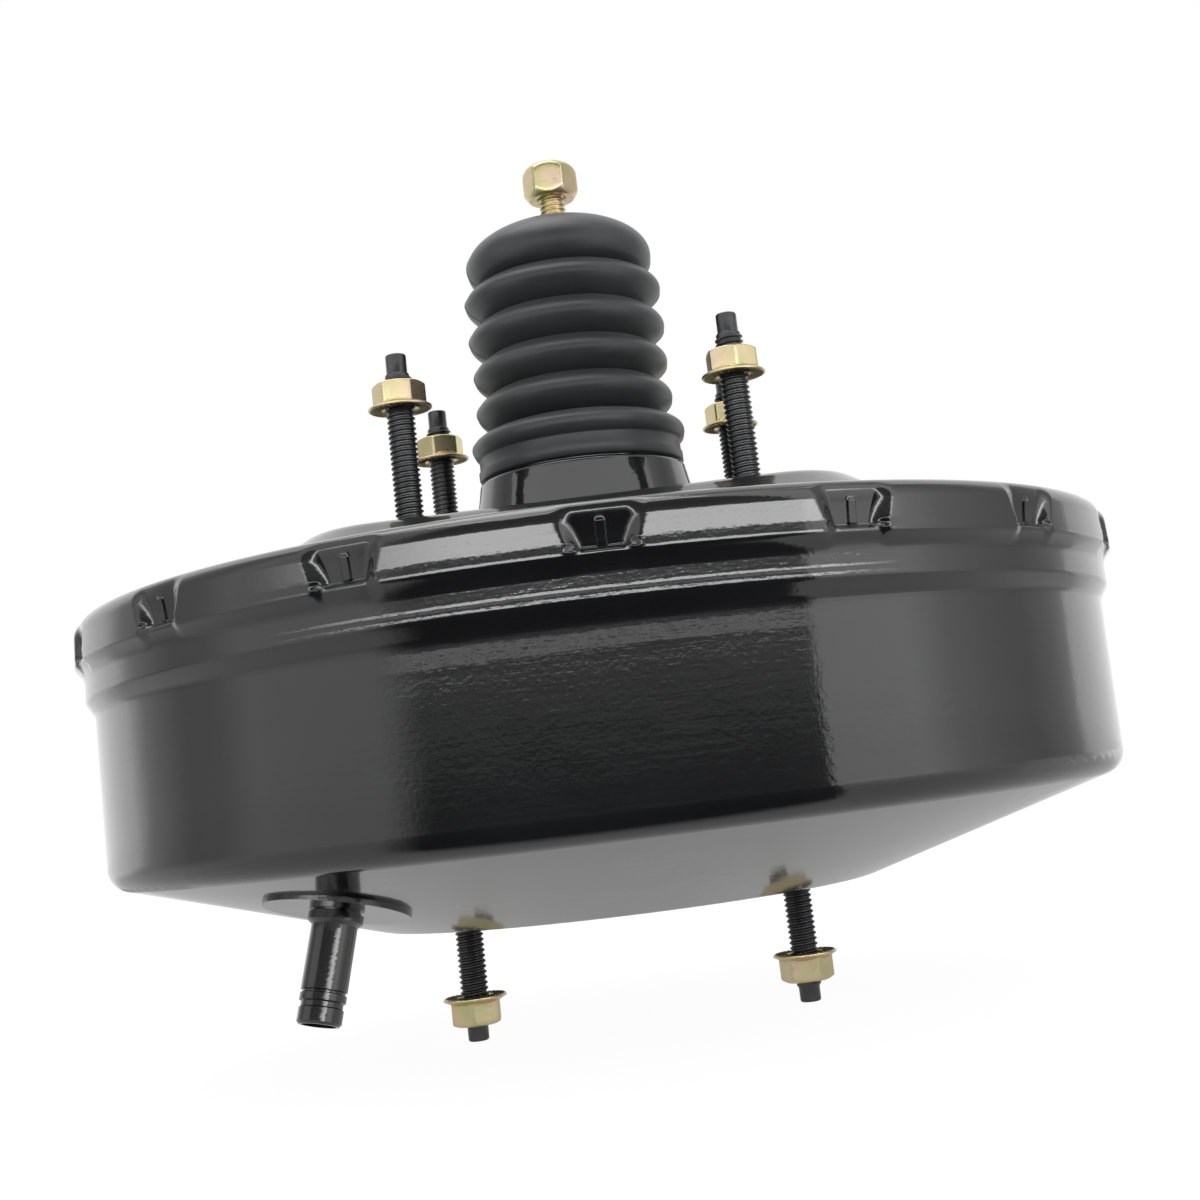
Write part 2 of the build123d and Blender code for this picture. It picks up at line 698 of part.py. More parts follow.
with BuildPart() as output_rod:
    with BuildSketch(Plane.XZ):
        with BuildLine():
            FilletPolyline(
                (0, DISC_Z - DISC_T - 0.02),
                (DISC_R - 0.1, DISC_Z - DISC_T - 0.02),
                (DISC_R - 0.1, DISC_Z - DISC_T - 4.0),
                (ROD_R, DISC_Z - DISC_T - 5.0),
                (ROD_R, ROD_END_Z),
                (3.1, ROD_END_Z),
                (3.1, ROD_END_Z + 12.0),
                (0, ROD_END_Z + 14.0),
                radius=(0, 0.4, 0.6, 0.9, 0.6, 0, 0, 0),
                close=True,
            )
        make_face()
    revolve(axis=Axis.Z)
save(output_rod, "output_rod")

with BuildPart() as adjusting_screw:
    with BuildSketch(Plane.XY.offset(ROD_END_Z - 4.0)):
        RegularPolygon(5.0, 6, major_radius=False)
    extrude(amount=3.98)
    with BuildSketch(Plane.XY.offset(ROD_END_Z - 0.02)):
        Circle(3.0)
    extrude(amount=11.0)
    with BuildSketch(Plane.XZ):
        Polygon(
            (0, ROD_END_Z - 4.0),
            (4.2, ROD_END_Z - 4.0),
            (4.2, ROD_END_Z - 4.8),
            (3.6, ROD_TIP_Z + 0.9),
            (2.0, ROD_TIP_Z),
            (0, ROD_TIP_Z),
            align=None,
        )
    revolve(axis=Axis.Z)
save(adjusting_screw, "adjusting_screw")

with BuildPart() as rod_retainer:
    with BuildSketch(Plane.XZ):
        with BuildLine():
            strip, bends = sheet(
                [
                    (33.0, HUB_FLANGE_Z - 0.02),
                    (BOSS_R + 0.05, HUB_FLANGE_Z - 0.02),
                    (BOSS_R + 0.05, BOSS_Z - 0.02),
                    (9.0, BOSS_Z - 0.02),
                ],
                [1.8, 0.2],
                -1.4,
            )
            FilletPolyline(strip, radius=0, close=True)
        make_face()
    revolve(axis=Axis.Z)
    with BuildSketch(Plane.XY.offset(HUB_FLANGE_Z - 3.0)):
        with PolarLocations(23.4, 4, start_angle=45):
            Circle(1.6)
    extrude(amount=4.0, mode=Mode.SUBTRACT)
save(rod_retainer, "rod_retainer")

SPRING_R = 30.0
SPRING_WIRE = 1.8
spring_low = FRONT_Z + SHEET + PLATE_T + SPRING_WIRE + 0.05
spring_high = HUB_FLANGE_Z - 1.45 - SPRING_WIRE - 0.05
with BuildPart() as return_spring:
    with BuildLine():
        coil = Helix(
            pitch=(spring_high - spring_low) / 5,
            height=spring_high - spring_low,
            radius=SPRING_R,
            center=(0, 0, spring_low),
        )
    with BuildSketch(Plane(origin=coil @ 0, z_dir=coil % 0)):
        Circle(SPRING_WIRE)
    sweep(is_frenet=True)
save(return_spring, "return_spring")

# ---- poppet valve and its spring ------------------------------------------------------
with BuildPart() as poppet_valve:
    with BuildSketch(Plane.XZ):
        Polygon(
            (6.8, SEAT_Z + 0.3),
            (13.4, SEAT_Z + 0.3),
            (13.4, SEAT_Z + 2.0),
            (10.8, SEAT_Z + 2.3),
            (10.8, 3.0),
            (14.2, 6.0),
            (14.2, 9.05),
            (18.1, 9.05),
            (18.1, 11.7),
            (13.0, 11.7),
            (13.0, 6.6),
            (9.6, 3.6),
            (9.6, SEAT_Z + 2.0),
            (6.8, SEAT_Z + 2.0),
            align=None,
        )
    revolve(axis=Axis.Z)
save(poppet_valve, "poppet_valve")

with BuildPart() as poppet_washer:
    with BuildSketch(Plane.XY.offset(SEAT_Z + 2.05)):
        Circle(9.5)
        Circle(6.9, mode=Mode.SUBTRACT)
    extrude(amount=0.8)
save(poppet_washer, "poppet_washer")

with BuildPart() as poppet_retainer:
    with BuildSketch(Plane.XZ):
        with BuildLine():
            strip, bends = sheet([(7.6, 11.75), (18.1, 11.75), (18.1, 24.0)], [1.6], -1.1)
            FilletPolyline(strip, radius=0, close=True)
        make_face()
    revolve(axis=Axis.Z)
save(poppet_retainer, "poppet_retainer")

poppet_low = SEAT_Z + 2.9 + 0.5
with BuildPart() as poppet_spring:
    with BuildLine():
        coil = Helix(pitch=(11.1 - poppet_low) / 5, height=11.1 - poppet_low, radius=8.3, center=(0, 0, poppet_low))
    with BuildSketch(Plane(origin=coil @ 0, z_dir=coil % 0)):
        Circle(0.45)
    sweep(is_frenet=True)
save(poppet_spring, "poppet_spring")

# ---- plunger, input rod, its spring and seat, lock nut --------------------------------
with BuildPart() as valve_plunger:
    with BuildSketch(Plane.XZ):
        with BuildLine():
            FilletPolyline(
                (0, -33.4),
                (PLUNGER_NOSE_R, -33.4),
                (PLUNGER_NOSE_R, -25.2),
                (PLUNGER_R, -25.2),
                (PLUNGER_R, -23.8),
                (PLUNGER_NOSE_R, -23.8),
                (PLUNGER_NOSE_R, -17.4),
                (PLUNGER_R, -17.4),
                (PLUNGER_R, -8.6),
                (10.0, -7.6),
                (10.0, SEAT_Z),
                (8.8, SEAT_Z),
                (8.2, SEAT_Z - 1.4),
                (0, SEAT_Z - 1.4),
                radius=(0, 0.6, 0, 0.3, 0.3, 0, 0, 0.3, 0, 0, 0.3, 0.3, 0, 0),
                close=True,
            )
        make_face()
    revolve(axis=Axis.Z)
    with Locations((0, 0, BALL_Z)):
        Sphere(BALL_R + 0.06, mode=Mode.SUBTRACT)
    with BuildSketch(Plane.XZ):
        Polygon((0, BALL_Z), (5.0, BALL_Z + 2.6), (6.6, SEAT_Z - 1.3), (0, SEAT_Z - 1.3), align=None)
    revolve(axis=Axis.Z, mode=Mode.SUBTRACT)
save(valve_plunger, "valve_plunger")

with BuildPart() as input_rod:
    with BuildSketch(Plane.XZ):
        with BuildLine():
            FilletPolyline(
                (0, BALL_Z),
                (3.6, BALL_Z),
                (3.6, -3.0),
                (4.2, -1.0),
                (4.2, 26.0),
                (SHANK_R, 27.0),
                (SHANK_R, 31.5),
                (8.0, 31.5),
                (8.0, 33.5),
                (SHANK_R, 34.2),
                (SHANK_R, 84.0),
                (STUD_R, 85.2),
                (STUD_R, NUT_Z + LOCK_NUT_H - 1.6),
                (STUD_R - 1.0, NUT_Z + LOCK_NUT_H - 0.6),
                (0, NUT_Z + LOCK_NUT_H - 0.6),
                radius=(0, 0, 0.8, 0.8, 0, 0, 0, 0.3, 0.3, 0, 0, 0, 0, 0, 0),
                close=True,
            )
        make_face()
    revolve(axis=Axis.Z)
    with Locations((0, 0, BALL_Z)):
        Sphere(BALL_R)
save(input_rod, "input_rod")

with BuildPart() as spring_seat:
    with BuildSketch(Plane.XZ):
        Polygon(
            (SHANK_R + 0.05, 30.2),
            (9.6, 30.2),
            (10.6, 28.8),
            (14.2, 28.8),
            (14.2, 30.0),
            (11.2, 30.0),
            (10.1, 31.45),
            (SHANK_R + 0.05, 31.45),
            align=None,
        )
    revolve(axis=Axis.Z)
save(spring_seat, "spring_seat")

with BuildPart() as rod_spring:
    with BuildLine():
        coil = Helix(pitch=(27.8 - 13.9) / 4, height=27.8 - 13.9, radius=12.4, center=(0, 0, 13.9))
    with BuildSketch(Plane(origin=coil @ 0, z_dir=coil % 0)):
        Circle(0.9)
    sweep(is_frenet=True)
save(rod_spring, "rod_spring")

with BuildPart() as lock_nut:
    with BuildSketch(Plane.XY.offset(NUT_Z)):
        RegularPolygon(LOCK_NUT_AF / 2, 6, major_radius=False)
    extrude(amount=LOCK_NUT_H)
    with BuildSketch(Plane.XZ):
        with BuildLine():
            Polyline((0, NUT_Z), (6.6, NUT_Z), (8.4, NUT_Z + 2.4), (8.4, NUT_Z + LOCK_NUT_H - 4.2))
            ThreePointArc(
                (8.4, NUT_Z + LOCK_NUT_H - 4.2),
                (7.0, NUT_Z + LOCK_NUT_H - 1.3),
                (4.6, NUT_Z + LOCK_NUT_H),
            )
            Polyline((4.6, NUT_Z + LOCK_NUT_H), (0, NUT_Z + LOCK_NUT_H), (0, NUT_Z))
        make_face()
    revolve(axis=Axis.Z, mode=Mode.INTERSECT)
    with Locations((0, 0, NUT_Z + LOCK_NUT_H)):
        Hole(STUD_R + 0.03)
save(lock_nut, "lock_nut")

# ---- air filter, silencer and the cap over the tail tube ------------------------------
for name, low, high in (("air_filter", 36.0, 47.0), ("air_silencer", 47.3, 54.0)):
    with BuildPart() as pad_ring:
        with BuildSketch(Plane.XY.offset(low)):
            Circle(TUBE_BORE_R - 0.1)
            Circle(9.4, mode=Mode.SUBTRACT)
        extrude(amount=high - low)
    save(pad_ring, name)

with BuildPart() as filter_cap:
    with BuildSketch(Plane.XY.offset(TUBE_TOP_Z + 0.02)):
        Circle(TUBE_R - 0.1)
        Circle(9.8, mode=Mode.SUBTRACT)
        with PolarLocations(14.2, 6):
            SlotOverall(7.0, 3.6, rotation=90, mode=Mode.SUBTRACT)
    extrude(amount=1.6)
    with BuildSketch(Plane.XY.offset(TUBE_TOP_Z - 1.8)):
        Circle(TUBE_BORE_R - 0.1)
        Circle(TUBE_BORE_R - 1.3, mode=Mode.SUBTRACT)
    extrude(amount=2.0)
    fillet(filter_cap.faces().sort_by(Axis.Z)[-1].outer_wire().edges(), 0.6)
save(filter_cap, "filter_cap")
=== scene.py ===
import json
import math

import bmesh
import bpy
import numpy as np
from mathutils import Matrix, Vector


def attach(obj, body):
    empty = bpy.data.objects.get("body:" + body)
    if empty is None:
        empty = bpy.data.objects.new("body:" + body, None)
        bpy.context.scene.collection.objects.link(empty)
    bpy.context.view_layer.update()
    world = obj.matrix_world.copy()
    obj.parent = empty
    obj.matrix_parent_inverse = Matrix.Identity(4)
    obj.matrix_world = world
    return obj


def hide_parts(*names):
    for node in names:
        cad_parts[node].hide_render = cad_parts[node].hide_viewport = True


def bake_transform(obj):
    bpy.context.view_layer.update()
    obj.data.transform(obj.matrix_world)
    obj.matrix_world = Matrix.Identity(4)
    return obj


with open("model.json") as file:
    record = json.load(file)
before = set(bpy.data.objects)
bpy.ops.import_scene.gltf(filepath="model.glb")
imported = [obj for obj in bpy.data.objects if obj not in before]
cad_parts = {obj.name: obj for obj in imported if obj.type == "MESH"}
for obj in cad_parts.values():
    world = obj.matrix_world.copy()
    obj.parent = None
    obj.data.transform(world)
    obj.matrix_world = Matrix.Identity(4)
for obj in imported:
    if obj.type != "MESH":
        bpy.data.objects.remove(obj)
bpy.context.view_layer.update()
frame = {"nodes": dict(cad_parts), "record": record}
scene = bpy.context.scene
nodes = frame["nodes"]
MM = 0.001

# ---- dimensions shared by several pieces, in millimetres ----------------------------------
# 5/16-18 threads: 18 turns to the inch, with the radii over the crests and in the roots
PITCH, CREST_R, ROOT_R, THREAD_COLUMNS = 1.411, 3.80, 3.24, 40
# studs as (x, y), then the height of each nut's seat and its turn in degrees, in the same order
REAR_FACE, FRONT_FACE = 0.0, -101.5
REAR_STUD_TIP, FRONT_STUD_TIP = 49.4, -133.5
REAR_STUDS = [(-45.0, -35.0), (45.0, -35.0), (-45.0, 35.0), (45.0, 35.0)]
REAR_SEATS = [33.8, 31.7, 33.2, 32.6]
REAR_TURNS = [-26.0, 8.0, -8.0, 26.0]
FRONT_STUDS = [(-45.0, 0.0), (45.0, 0.0)]
FRONT_SEATS = [-121.6, -120.4]
FRONT_TURNS = [4.0, 24.0]
NUT_BORE_R, NUT_FLATS, NUT_HEIGHT = 3.97, 12.7, 7.7
LOCK_NUT_BORE_R, LOCK_NUT_FLATS, LOCK_NUT_Z = 3.98, 14.3, 100.5


# ---- mesh helpers -----------------------------------------------------------------------
def add_object(name, data):
    obj = bpy.data.objects.new(name, data)
    scene.collection.objects.link(obj)
    return obj


def make_piece(name, shells, sharp):
    """One object from (verts, faces) shells in millimetres; edges over sharp degrees stay crisp."""
    verts, faces = [], []
    for shell_verts, shell_faces in shells:
        base = len(verts)
        verts += [tuple(v) for v in shell_verts]
        faces += [tuple(base + i for i in face) for face in shell_faces]
    mesh = bpy.data.meshes.new(name)
    mesh.from_pydata(verts, [], faces)
    bm = bmesh.new()
    bm.from_mesh(mesh)
    bmesh.ops.remove_doubles(bm, verts=bm.verts, dist=0.0005)
    bmesh.ops.dissolve_degenerate(bm, edges=bm.edges, dist=0.0002)
    bmesh.ops.recalc_face_normals(bm, faces=bm.faces)
    bmesh.ops.scale(bm, vec=(MM, MM, MM), verts=bm.verts)
    bm.to_mesh(mesh)
    bm.free()
    mesh.polygons.foreach_set("use_smooth", [True] * len(mesh.polygons))
    mesh.set_sharp_from_angle(angle=math.radians(sharp))
    return add_object(name, mesh)


def grid_faces(rows, columns, wrap=True):
    """Quads between neighbouring rows of points; wrap joins the last column to the first."""
    faces = []
    last = columns if wrap else columns - 1
    for j in range(rows - 1):
        low, high = j * columns, (j + 1) * columns
        for i in range(last):
            k = (i + 1) % columns
            faces.append((low + i, low + k, high + k, high + i))
    return faces


def ring_points(theta, radius, height):
    return np.stack([radius * np.cos(theta), radius * np.sin(theta), height + 0 * theta], axis=1)


def surface(profile, shape, columns):
    """A closed band around Z: shape(theta, r, z, k) gives the radius and height of profile row k."""
    theta = np.linspace(0, 2 * math.pi, columns, endpoint=False)
    rows = [ring_points(theta, *shape(theta, r, z, k)) for k, (r, z) in enumerate(profile)]
    return np.concatenate(rows), grid_faces(len(rows), columns)


def lathe(profile, columns):
    return surface(profile, lambda theta, r, z, k: (r, z), columns)


def moved(shell, offset, turn=0.0, flip=False):
    """The shell turned about Z in degrees and shifted; flip turns it over about X first."""
    verts = np.array(shell[0], float)
    if flip:
        verts = verts * np.array([1.0, -1.0, -1.0])
    c, s = math.cos(math.radians(turn)), math.sin(math.radians(turn))
    x = verts[:, 0] * c - verts[:, 1] * s
    y = verts[:, 0] * s + verts[:, 1] * c
    verts = np.stack([x, y, verts[:, 2]], axis=1) + np.array(offset, float)
    return verts, shell[1]


def arc(cx, cz, radius, start, end, count):
    """Points on an arc in the (r, z) plane, angles in degrees."""
    out = []
    for k in range(count + 1):
        a = math.radians(start + (end - start) * k / count)
        out.append((cx + radius * math.cos(a), cz + radius * math.sin(a)))
    return out


def spline(points, count):
    """A smooth line through (r, z) points, count steps in each span."""
    pts = np.array(points, float)
    tangents = np.gradient(pts, axis=0)
    out = []
    for k in range(len(pts) - 1):
        for s in range(count):
            t = s / count
            h = (2 * t**3 - 3 * t**2 + 1, t**3 - 2 * t**2 + t, -2 * t**3 + 3 * t**2, t**3 - t**2)
            out.append(tuple(h[0] * pts[k] + h[1] * tangents[k] + h[2] * pts[k + 1] + h[3] * tangents[k + 1]))
    out.append(tuple(pts[-1]))
    return out


def bell(x, width):
    """1 at zero, falling away smoothly over width on both sides."""
    return np.exp(-((x / width) ** 2))


def smooth(x):
    """0 below 0, 1 above 1, and an even S between."""
    x = np.clip(x, 0, 1)
    return x * x * (3 - 2 * x)


def soft_min(a, b, k):
    """The smaller of two values, rounded over about k where they cross."""
    return (a + b) / 2 - np.sqrt(((a - b) / 2) ** 2 + k * k)


def soft_max(a, b, k):
    """The larger of two values, rounded over about k where they cross."""
    return (a + b) / 2 + np.sqrt(((a - b) / 2) ** 2 + k * k)


def summed_tilts(tilts, z, step):
    """Offset along heights z that lie step apart, from tilts given as (millimetres, degrees)."""
    places, angles = zip(*sorted(tilts))
    slope = np.tan(np.radians(np.interp(z, places, angles)))
    return np.concatenate([[0.0], np.cumsum((slope[1:] + slope[:-1]) / 2 * step)])


def hexagon(theta, across_flats, power=46.0):
    """Radius of a hexagon; a higher power makes sharper corners."""
    total = 0
    for k in range(6):
        total = total + np.clip(np.cos(theta - k * math.pi / 3), 0, 1) ** power
    return across_flats / 2 * total ** (-1 / power)


def thread(low, high, fade_low=0.0, fade_high=0.0):
    """A helical thread between two heights; its crests sink into the core over each fade length."""
    tooth = [(0.0, ROOT_R), (0.06, ROOT_R), (0.36, CREST_R), (0.44, CREST_R), (0.52, CREST_R), (0.82, ROOT_R)]
    turns = int((high - low) / PITCH) + 2
    around = np.arange(THREAD_COLUMNS + 1) / THREAD_COLUMNS
    rows = []
    for j in range(turns * len(tooth) + 1):
        share, radius = tooth[j % len(tooth)]
        z = np.clip(low + (j // len(tooth) + share + around - 1) * PITCH, low, high)
        keep = np.ones_like(z)
        if fade_high:
            keep = keep * smooth((high - z) / fade_high)
        if fade_low:
            keep = keep * smooth((z - low) / fade_low)
        rows.append(ring_points(2 * math.pi * around, ROOT_R + (radius - ROOT_R) * keep, z))
    return np.concatenate(rows), grid_faces(len(rows), THREAD_COLUMNS + 1, wrap=False)


# ---- shader helpers ---------------------------------------------------------------------
class Shader:
    """A small wrapper that adds nodes to one material."""

    def __init__(self, name):
        self.material = bpy.data.materials.new(name)
        self.material.use_nodes = True
        self.tree = self.material.node_tree
        self.bsdf = self.tree.nodes["Principled BSDF"]
        self.place = self.tree.nodes.new("ShaderNodeTexCoord").outputs["Object"]

    def add(self, kind, **values):
        node = self.tree.nodes.new(kind)
        for key, value in values.items():
            if isinstance(value, bpy.types.NodeSocket):
                self.tree.links.new(value, node.inputs[key])
            else:
                node.inputs[key].default_value = value
        return node

    def stretched(self, scale):
        """Object space scaled by a different amount along each axis."""
        return self.add("ShaderNodeMapping", Vector=self.place, Scale=scale).outputs["Vector"]

    def noise(self, scale, detail, rough, vector=None, distortion=0.0):
        node = self.add("ShaderNodeTexNoise", Scale=scale, Detail=detail, Roughness=rough)
        node.inputs["Distortion"].default_value = distortion
        self.tree.links.new(vector or self.place, node.inputs["Vector"])
        return node.outputs["Fac"]

    def spread(self, value, low, high, out_low, out_high):
        node = self.add("ShaderNodeMapRange")
        self.tree.links.new(value, node.inputs["Value"])
        for key, number in zip(("From Min", "From Max", "To Min", "To Max"), (low, high, out_low, out_high)):
            node.inputs[key].default_value = number
        return node.outputs["Result"]

    def between(self, noise, low, high):
        """From low to high over the middle half of a noise."""
        return self.spread(noise, 0.25, 0.75, low, high)

    def ramp(self, value, stops):
        node = self.add("ShaderNodeValToRGB")
        self.tree.links.new(value, node.inputs["Fac"])
        elements = node.color_ramp.elements
        while len(elements) < len(stops):
            elements.new(0.5)
        for element, (position, colour) in zip(elements, stops):
            element.position = position
            element.color = (*colour, 1.0)
        return node.outputs["Color"]

    def bump(self, height, strength, distance, normal=None):
        node = self.add("ShaderNodeBump", Strength=strength, Distance=distance)
        self.tree.links.new(height, node.inputs["Height"])
        if normal is not None:
            self.tree.links.new(normal, node.inputs["Normal"])
        return node.outputs["Normal"]

    def height_curve(self, stops, scale):
        """Height from Z through (place, height) stops in millimetres; scale is the height of 1."""
        split = self.add("ShaderNodeSeparateXYZ", Vector=self.place)
        low, high = stops[0][0], stops[-1][0]
        place = self.spread(split.outputs["Z"], low * MM, high * MM, 0.0, 1.0)
        node = self.add("ShaderNodeFloatCurve", Value=place)
        points = node.mapping.curves[0].points
        while len(points) < len(stops):
            points.new(0.5, 0.5)
        for point, (z, height) in zip(points, stops):
            point.location = ((z - low) / (high - low), height / scale)
            point.handle_type = "AUTO"
        node.mapping.update()
        return node.outputs["Value"]

    def finish(self, colour, roughness=None, normal=None, **uniform):
        """Link the sockets and set the plain values; a clear coat follows the same normal."""
        for key, value in uniform.items():
            self.bsdf.inputs[key.replace("_", " ")].default_value = value
        if "Coat_Weight" in uniform:
            self.tree.links.new(normal, self.bsdf.inputs["Coat Normal"])
        for key, socket in (("Base Color", colour), ("Roughness", roughness), ("Normal", normal)):
            if socket is not None:
                self.tree.links.new(socket, self.bsdf.inputs[key])
        return self.material


# ---- materials --------------------------------------------------------------------------
BAND_TOP, BAND_FOOT, BAND_STEP = -26.6, -48.0, 0.1
# (height, tilt of the wall in degrees) down the band under the rim
BAND_TILTS = [
    (-26.6, 0), (-32.3, 0), (-32.45, 1.6), (-32.95, 1.6), (-33.05, -2.0), (-33.5, -1.6), (-33.7, 0),
    (-33.95, 0), (-34.1, 1.4), (-34.5, 1.4), (-34.7, 0), (-38.5, 0), (-38.8, -9.0), (-40.0, -2.0),
    (-41.2, 0.3), (-42.5, 0.7), (-44.3, 0.8), (-44.5, -0.3), (-48.0, 0),
]


def band_relief():
    """Height of the front shell's fine steps against Z, lowest place first."""
    count = int(round((BAND_TOP - BAND_FOOT) / BAND_STEP))
    z = np.linspace(BAND_TOP, BAND_FOOT, count + 1)
    height = summed_tilts(BAND_TILTS, z, BAND_STEP)
    height = height - height.min()
    return [(float(a), float(b)) for a, b in zip(z, height)][::-1]


def paint_material(name, relief=None):
    """Gloss black paint over pressed steel: a sharp clear top, slight orange peel and drawing lines."""
    s = Shader(name)
    cloud = s.noise(26.0, 4.0, 0.6)
    colour = s.ramp(cloud, [(0.3, (0.0075, 0.0078, 0.0085)), (0.7, (0.0115, 0.0120, 0.0130))])
    rough = s.between(cloud, 0.26, 0.34)
    normal = None
    if relief:
        full_height = 2.0
        normal = s.bump(s.height_curve(relief, full_height), 1.0, full_height * MM)
    peel = s.noise(900.0, 2.0, 0.5)
    lines = s.noise(1.0, 3.0, 0.6, s.stretched((40.0, 40.0, 700.0)))
    waves = s.noise(75.0, 2.0, 0.5)
    normal = s.bump(peel, 0.045, 0.0004, normal)
    normal = s.bump(lines, 0.05, 0.0003, normal)
    normal = s.bump(waves, 0.045, 0.0012, normal)
    return s.finish(colour, rough, normal, IOR=1.2, Coat_Weight=1.0, Coat_Roughness=0.06, Coat_IOR=1.76)


def stud_material():
    """Black oxide on steel: patchy, half dull, with a faint grain."""
    s = Shader("black_oxide_steel")
    grain = s.noise(420.0, 4.0, 0.6)
    patches = s.noise(95.0, 3.0, 0.6)
    colour = s.ramp(patches, [(0.3, (0.014, 0.0145, 0.016)), (0.7, (0.034, 0.035, 0.039))])
    normal = s.bump(grain, 0.18, 0.0002)
    return s.finish(colour, s.between(grain, 0.22, 0.40), normal, Metallic=0.25, IOR=1.9)


def zinc_material():
    """Yellow passivated zinc: gold with drifts of green and pink."""
    s = Shader("yellow_zinc")
    drift = s.noise(120.0, 2.0, 0.5, distortion=0.6)
    colour = s.ramp(
        drift,
        [
            (0.24, (0.58, 0.57, 0.30)),
            (0.40, (0.68, 0.60, 0.34)),
            (0.52, (0.74, 0.61, 0.38)),
            (0.66, (0.74, 0.57, 0.42)),
            (0.78, (0.55, 0.57, 0.34)),
        ],
    )
    grain = s.noise(900.0, 4.0, 0.6)
    normal = s.bump(grain, 0.15, 0.00015)
    return s.finish(colour, s.between(grain, 0.24, 0.40), normal, Metallic=1.0)


def rubber_material():
    """Moulded rubber: matte, slightly greyed, with a fine skin texture."""
    s = Shader("boot_rubber")
    cloud = s.noise(38.0, 4.0, 0.6)
    colour = s.ramp(cloud, [(0.3, (0.032, 0.034, 0.036)), (0.7, (0.050, 0.053, 0.055))])
    skin = s.noise(1500.0, 3.0, 0.6)
    normal = s.bump(skin, 0.12, 0.0002)
    return s.finish(colour, s.between(cloud, 0.34, 0.46), normal, Sheen_Weight=0.12, Sheen_Roughness=0.45)


def steel_material(name, dark, light, rough_low, rough_high):
    """Bare or plated steel with a fine turned grain."""
    s = Shader(name)
    cloud = s.noise(60.0, 3.0, 0.6)
    colour = s.ramp(cloud, [(0.3, dark), (0.7, light)])
    grain = s.noise(1.0, 3.0, 0.6, s.stretched((150.0, 150.0, 1800.0)))
    normal = s.bump(grain, 0.12, 0.0002)
    return s.finish(colour, s.between(grain, rough_low, rough_high), normal, Metallic=1.0)


def moulded_material(name, dark, light, rough_low, rough_high):
    """Moulded plastic with flow marks and a faint grain."""
    s = Shader(name)
    cloud = s.noise(45.0, 4.0, 0.6)
    colour = s.ramp(cloud, [(0.3, dark), (0.7, light)])
    grain = s.noise(1300.0, 3.0, 0.6)
    normal = s.bump(grain, 0.12, 0.0002)
    return s.finish(colour, s.between(cloud, rough_low, rough_high), normal)


def fibre_material(name, dark, light, size, depth):
    """Open foam or felt: cells and fibres a fraction of a millimetre across."""
    s = Shader(name)
    cells = s.noise(size, 6.0, 0.75)
    colour = s.ramp(cells, [(0.35, dark), (0.65, light)])
    return s.finish(colour, None, s.bump(cells, 0.8, depth), Roughness=0.92)


paint = paint_material("black_gloss_paint")
front_shell_paint = paint_material("black_gloss_paint_front_shell", band_relief())
oxide = stud_material()
zinc = zinc_material()
rubber = rubber_material()
slot_materials = {
    "black_paint": paint,
    "black_steel": oxide,
    "zinc": zinc,
    "steel": steel_material("plated_steel", (0.46, 0.46, 0.47), (0.62, 0.62, 0.63), 0.26, 0.42),
    "spring_steel": steel_material("spring_wire", (0.16, 0.16, 0.17), (0.28, 0.28, 0.30), 0.32, 0.48),
    "rubber": rubber,
    "plastic": moulded_material("black_phenolic", (0.030, 0.030, 0.032), (0.048, 0.048, 0.050), 0.42, 0.58),
    "nylon": moulded_material("natural_nylon", (0.66, 0.64, 0.58), (0.78, 0.76, 0.70), 0.36, 0.50),
    "foam": fibre_material("filter_foam", (0.03, 0.03, 0.032), (0.15, 0.15, 0.16), 900.0, 0.0006),
    "felt": fibre_material("silencer_felt", (0.36, 0.34, 0.31), (0.62, 0.60, 0.55), 1400.0, 0.0004),
}

for subpart in frame["record"]["subparts"]:
    material = slot_materials[subpart["material_slot"]]
    if subpart["node"] == "front_shell":
        material = front_shell_paint
    mesh = nodes[subpart["node"]].data
    mesh.materials.clear()
    mesh.materials.append(material)


def dress(obj, material):
    obj.data.materials.append(material)
    return obj


# ---- rear shell: the pressing's soft forms and its crimps ------------------------------------
SHEET = 1.6
RIM_R, RIM_Z, RIM_BEND = 140.5, -14.6, 4.5
BEND_R, BEND_Z = RIM_R - RIM_BEND, RIM_Z - RIM_BEND
SHELF_R, SHELF_Z, SLOPE_END_R = 83.5, -5.8, 128.0
PAD_HALF_X, PAD_HALF_Y, PAD_CORNER, PAD_SLOPE, PAD_CREST = 69.0, 62.0, 18.0, 31.0, 2.5
SKIRT_Z, SKIRT_STEP, SKIRT_GAP = -26.4, 0.2, 0.06
# (height, tilt of the wall in degrees) down the skirt, from the foot of the rim's bend
SKIRT_TILTS = [
    (-19.1, 1.5), (-23.3, 1.0), (-23.9, -0.6), (-25.3, -1.2), (-25.45, 2.2), (-26.05, 2.2),
    (-26.15, -20.0), (-26.4, -50.0),
]
HEM_R, HEM_DROP = 138.21, 3.6
CRIMPS, CRIMP_ANGLE, COLUMN_STEP, COLUMN_SHRINK = 16, -86.0, 0.165, 0.9999
POCKET_TOP, POCKET_HEIGHT, POCKET_HALF_WIDTH, POCKET_TAPER = -15.2, 9.8, 11.0, 3.4
POCKET_WALL, POCKET_WALL_TAPER, POCKET_TOP_DEPTH, POCKET_FOOT_DEPTH = 5.0, 1.2, 1.55, 1.15
LIP_DEPTH, RIB_HEIGHT, EAR_DEPTH, EAR_RIM = 0.9, 0.42, 0.38, 0.20
EAR_PLACES, EAR_Z = (-6.8, 6.8), -24.4


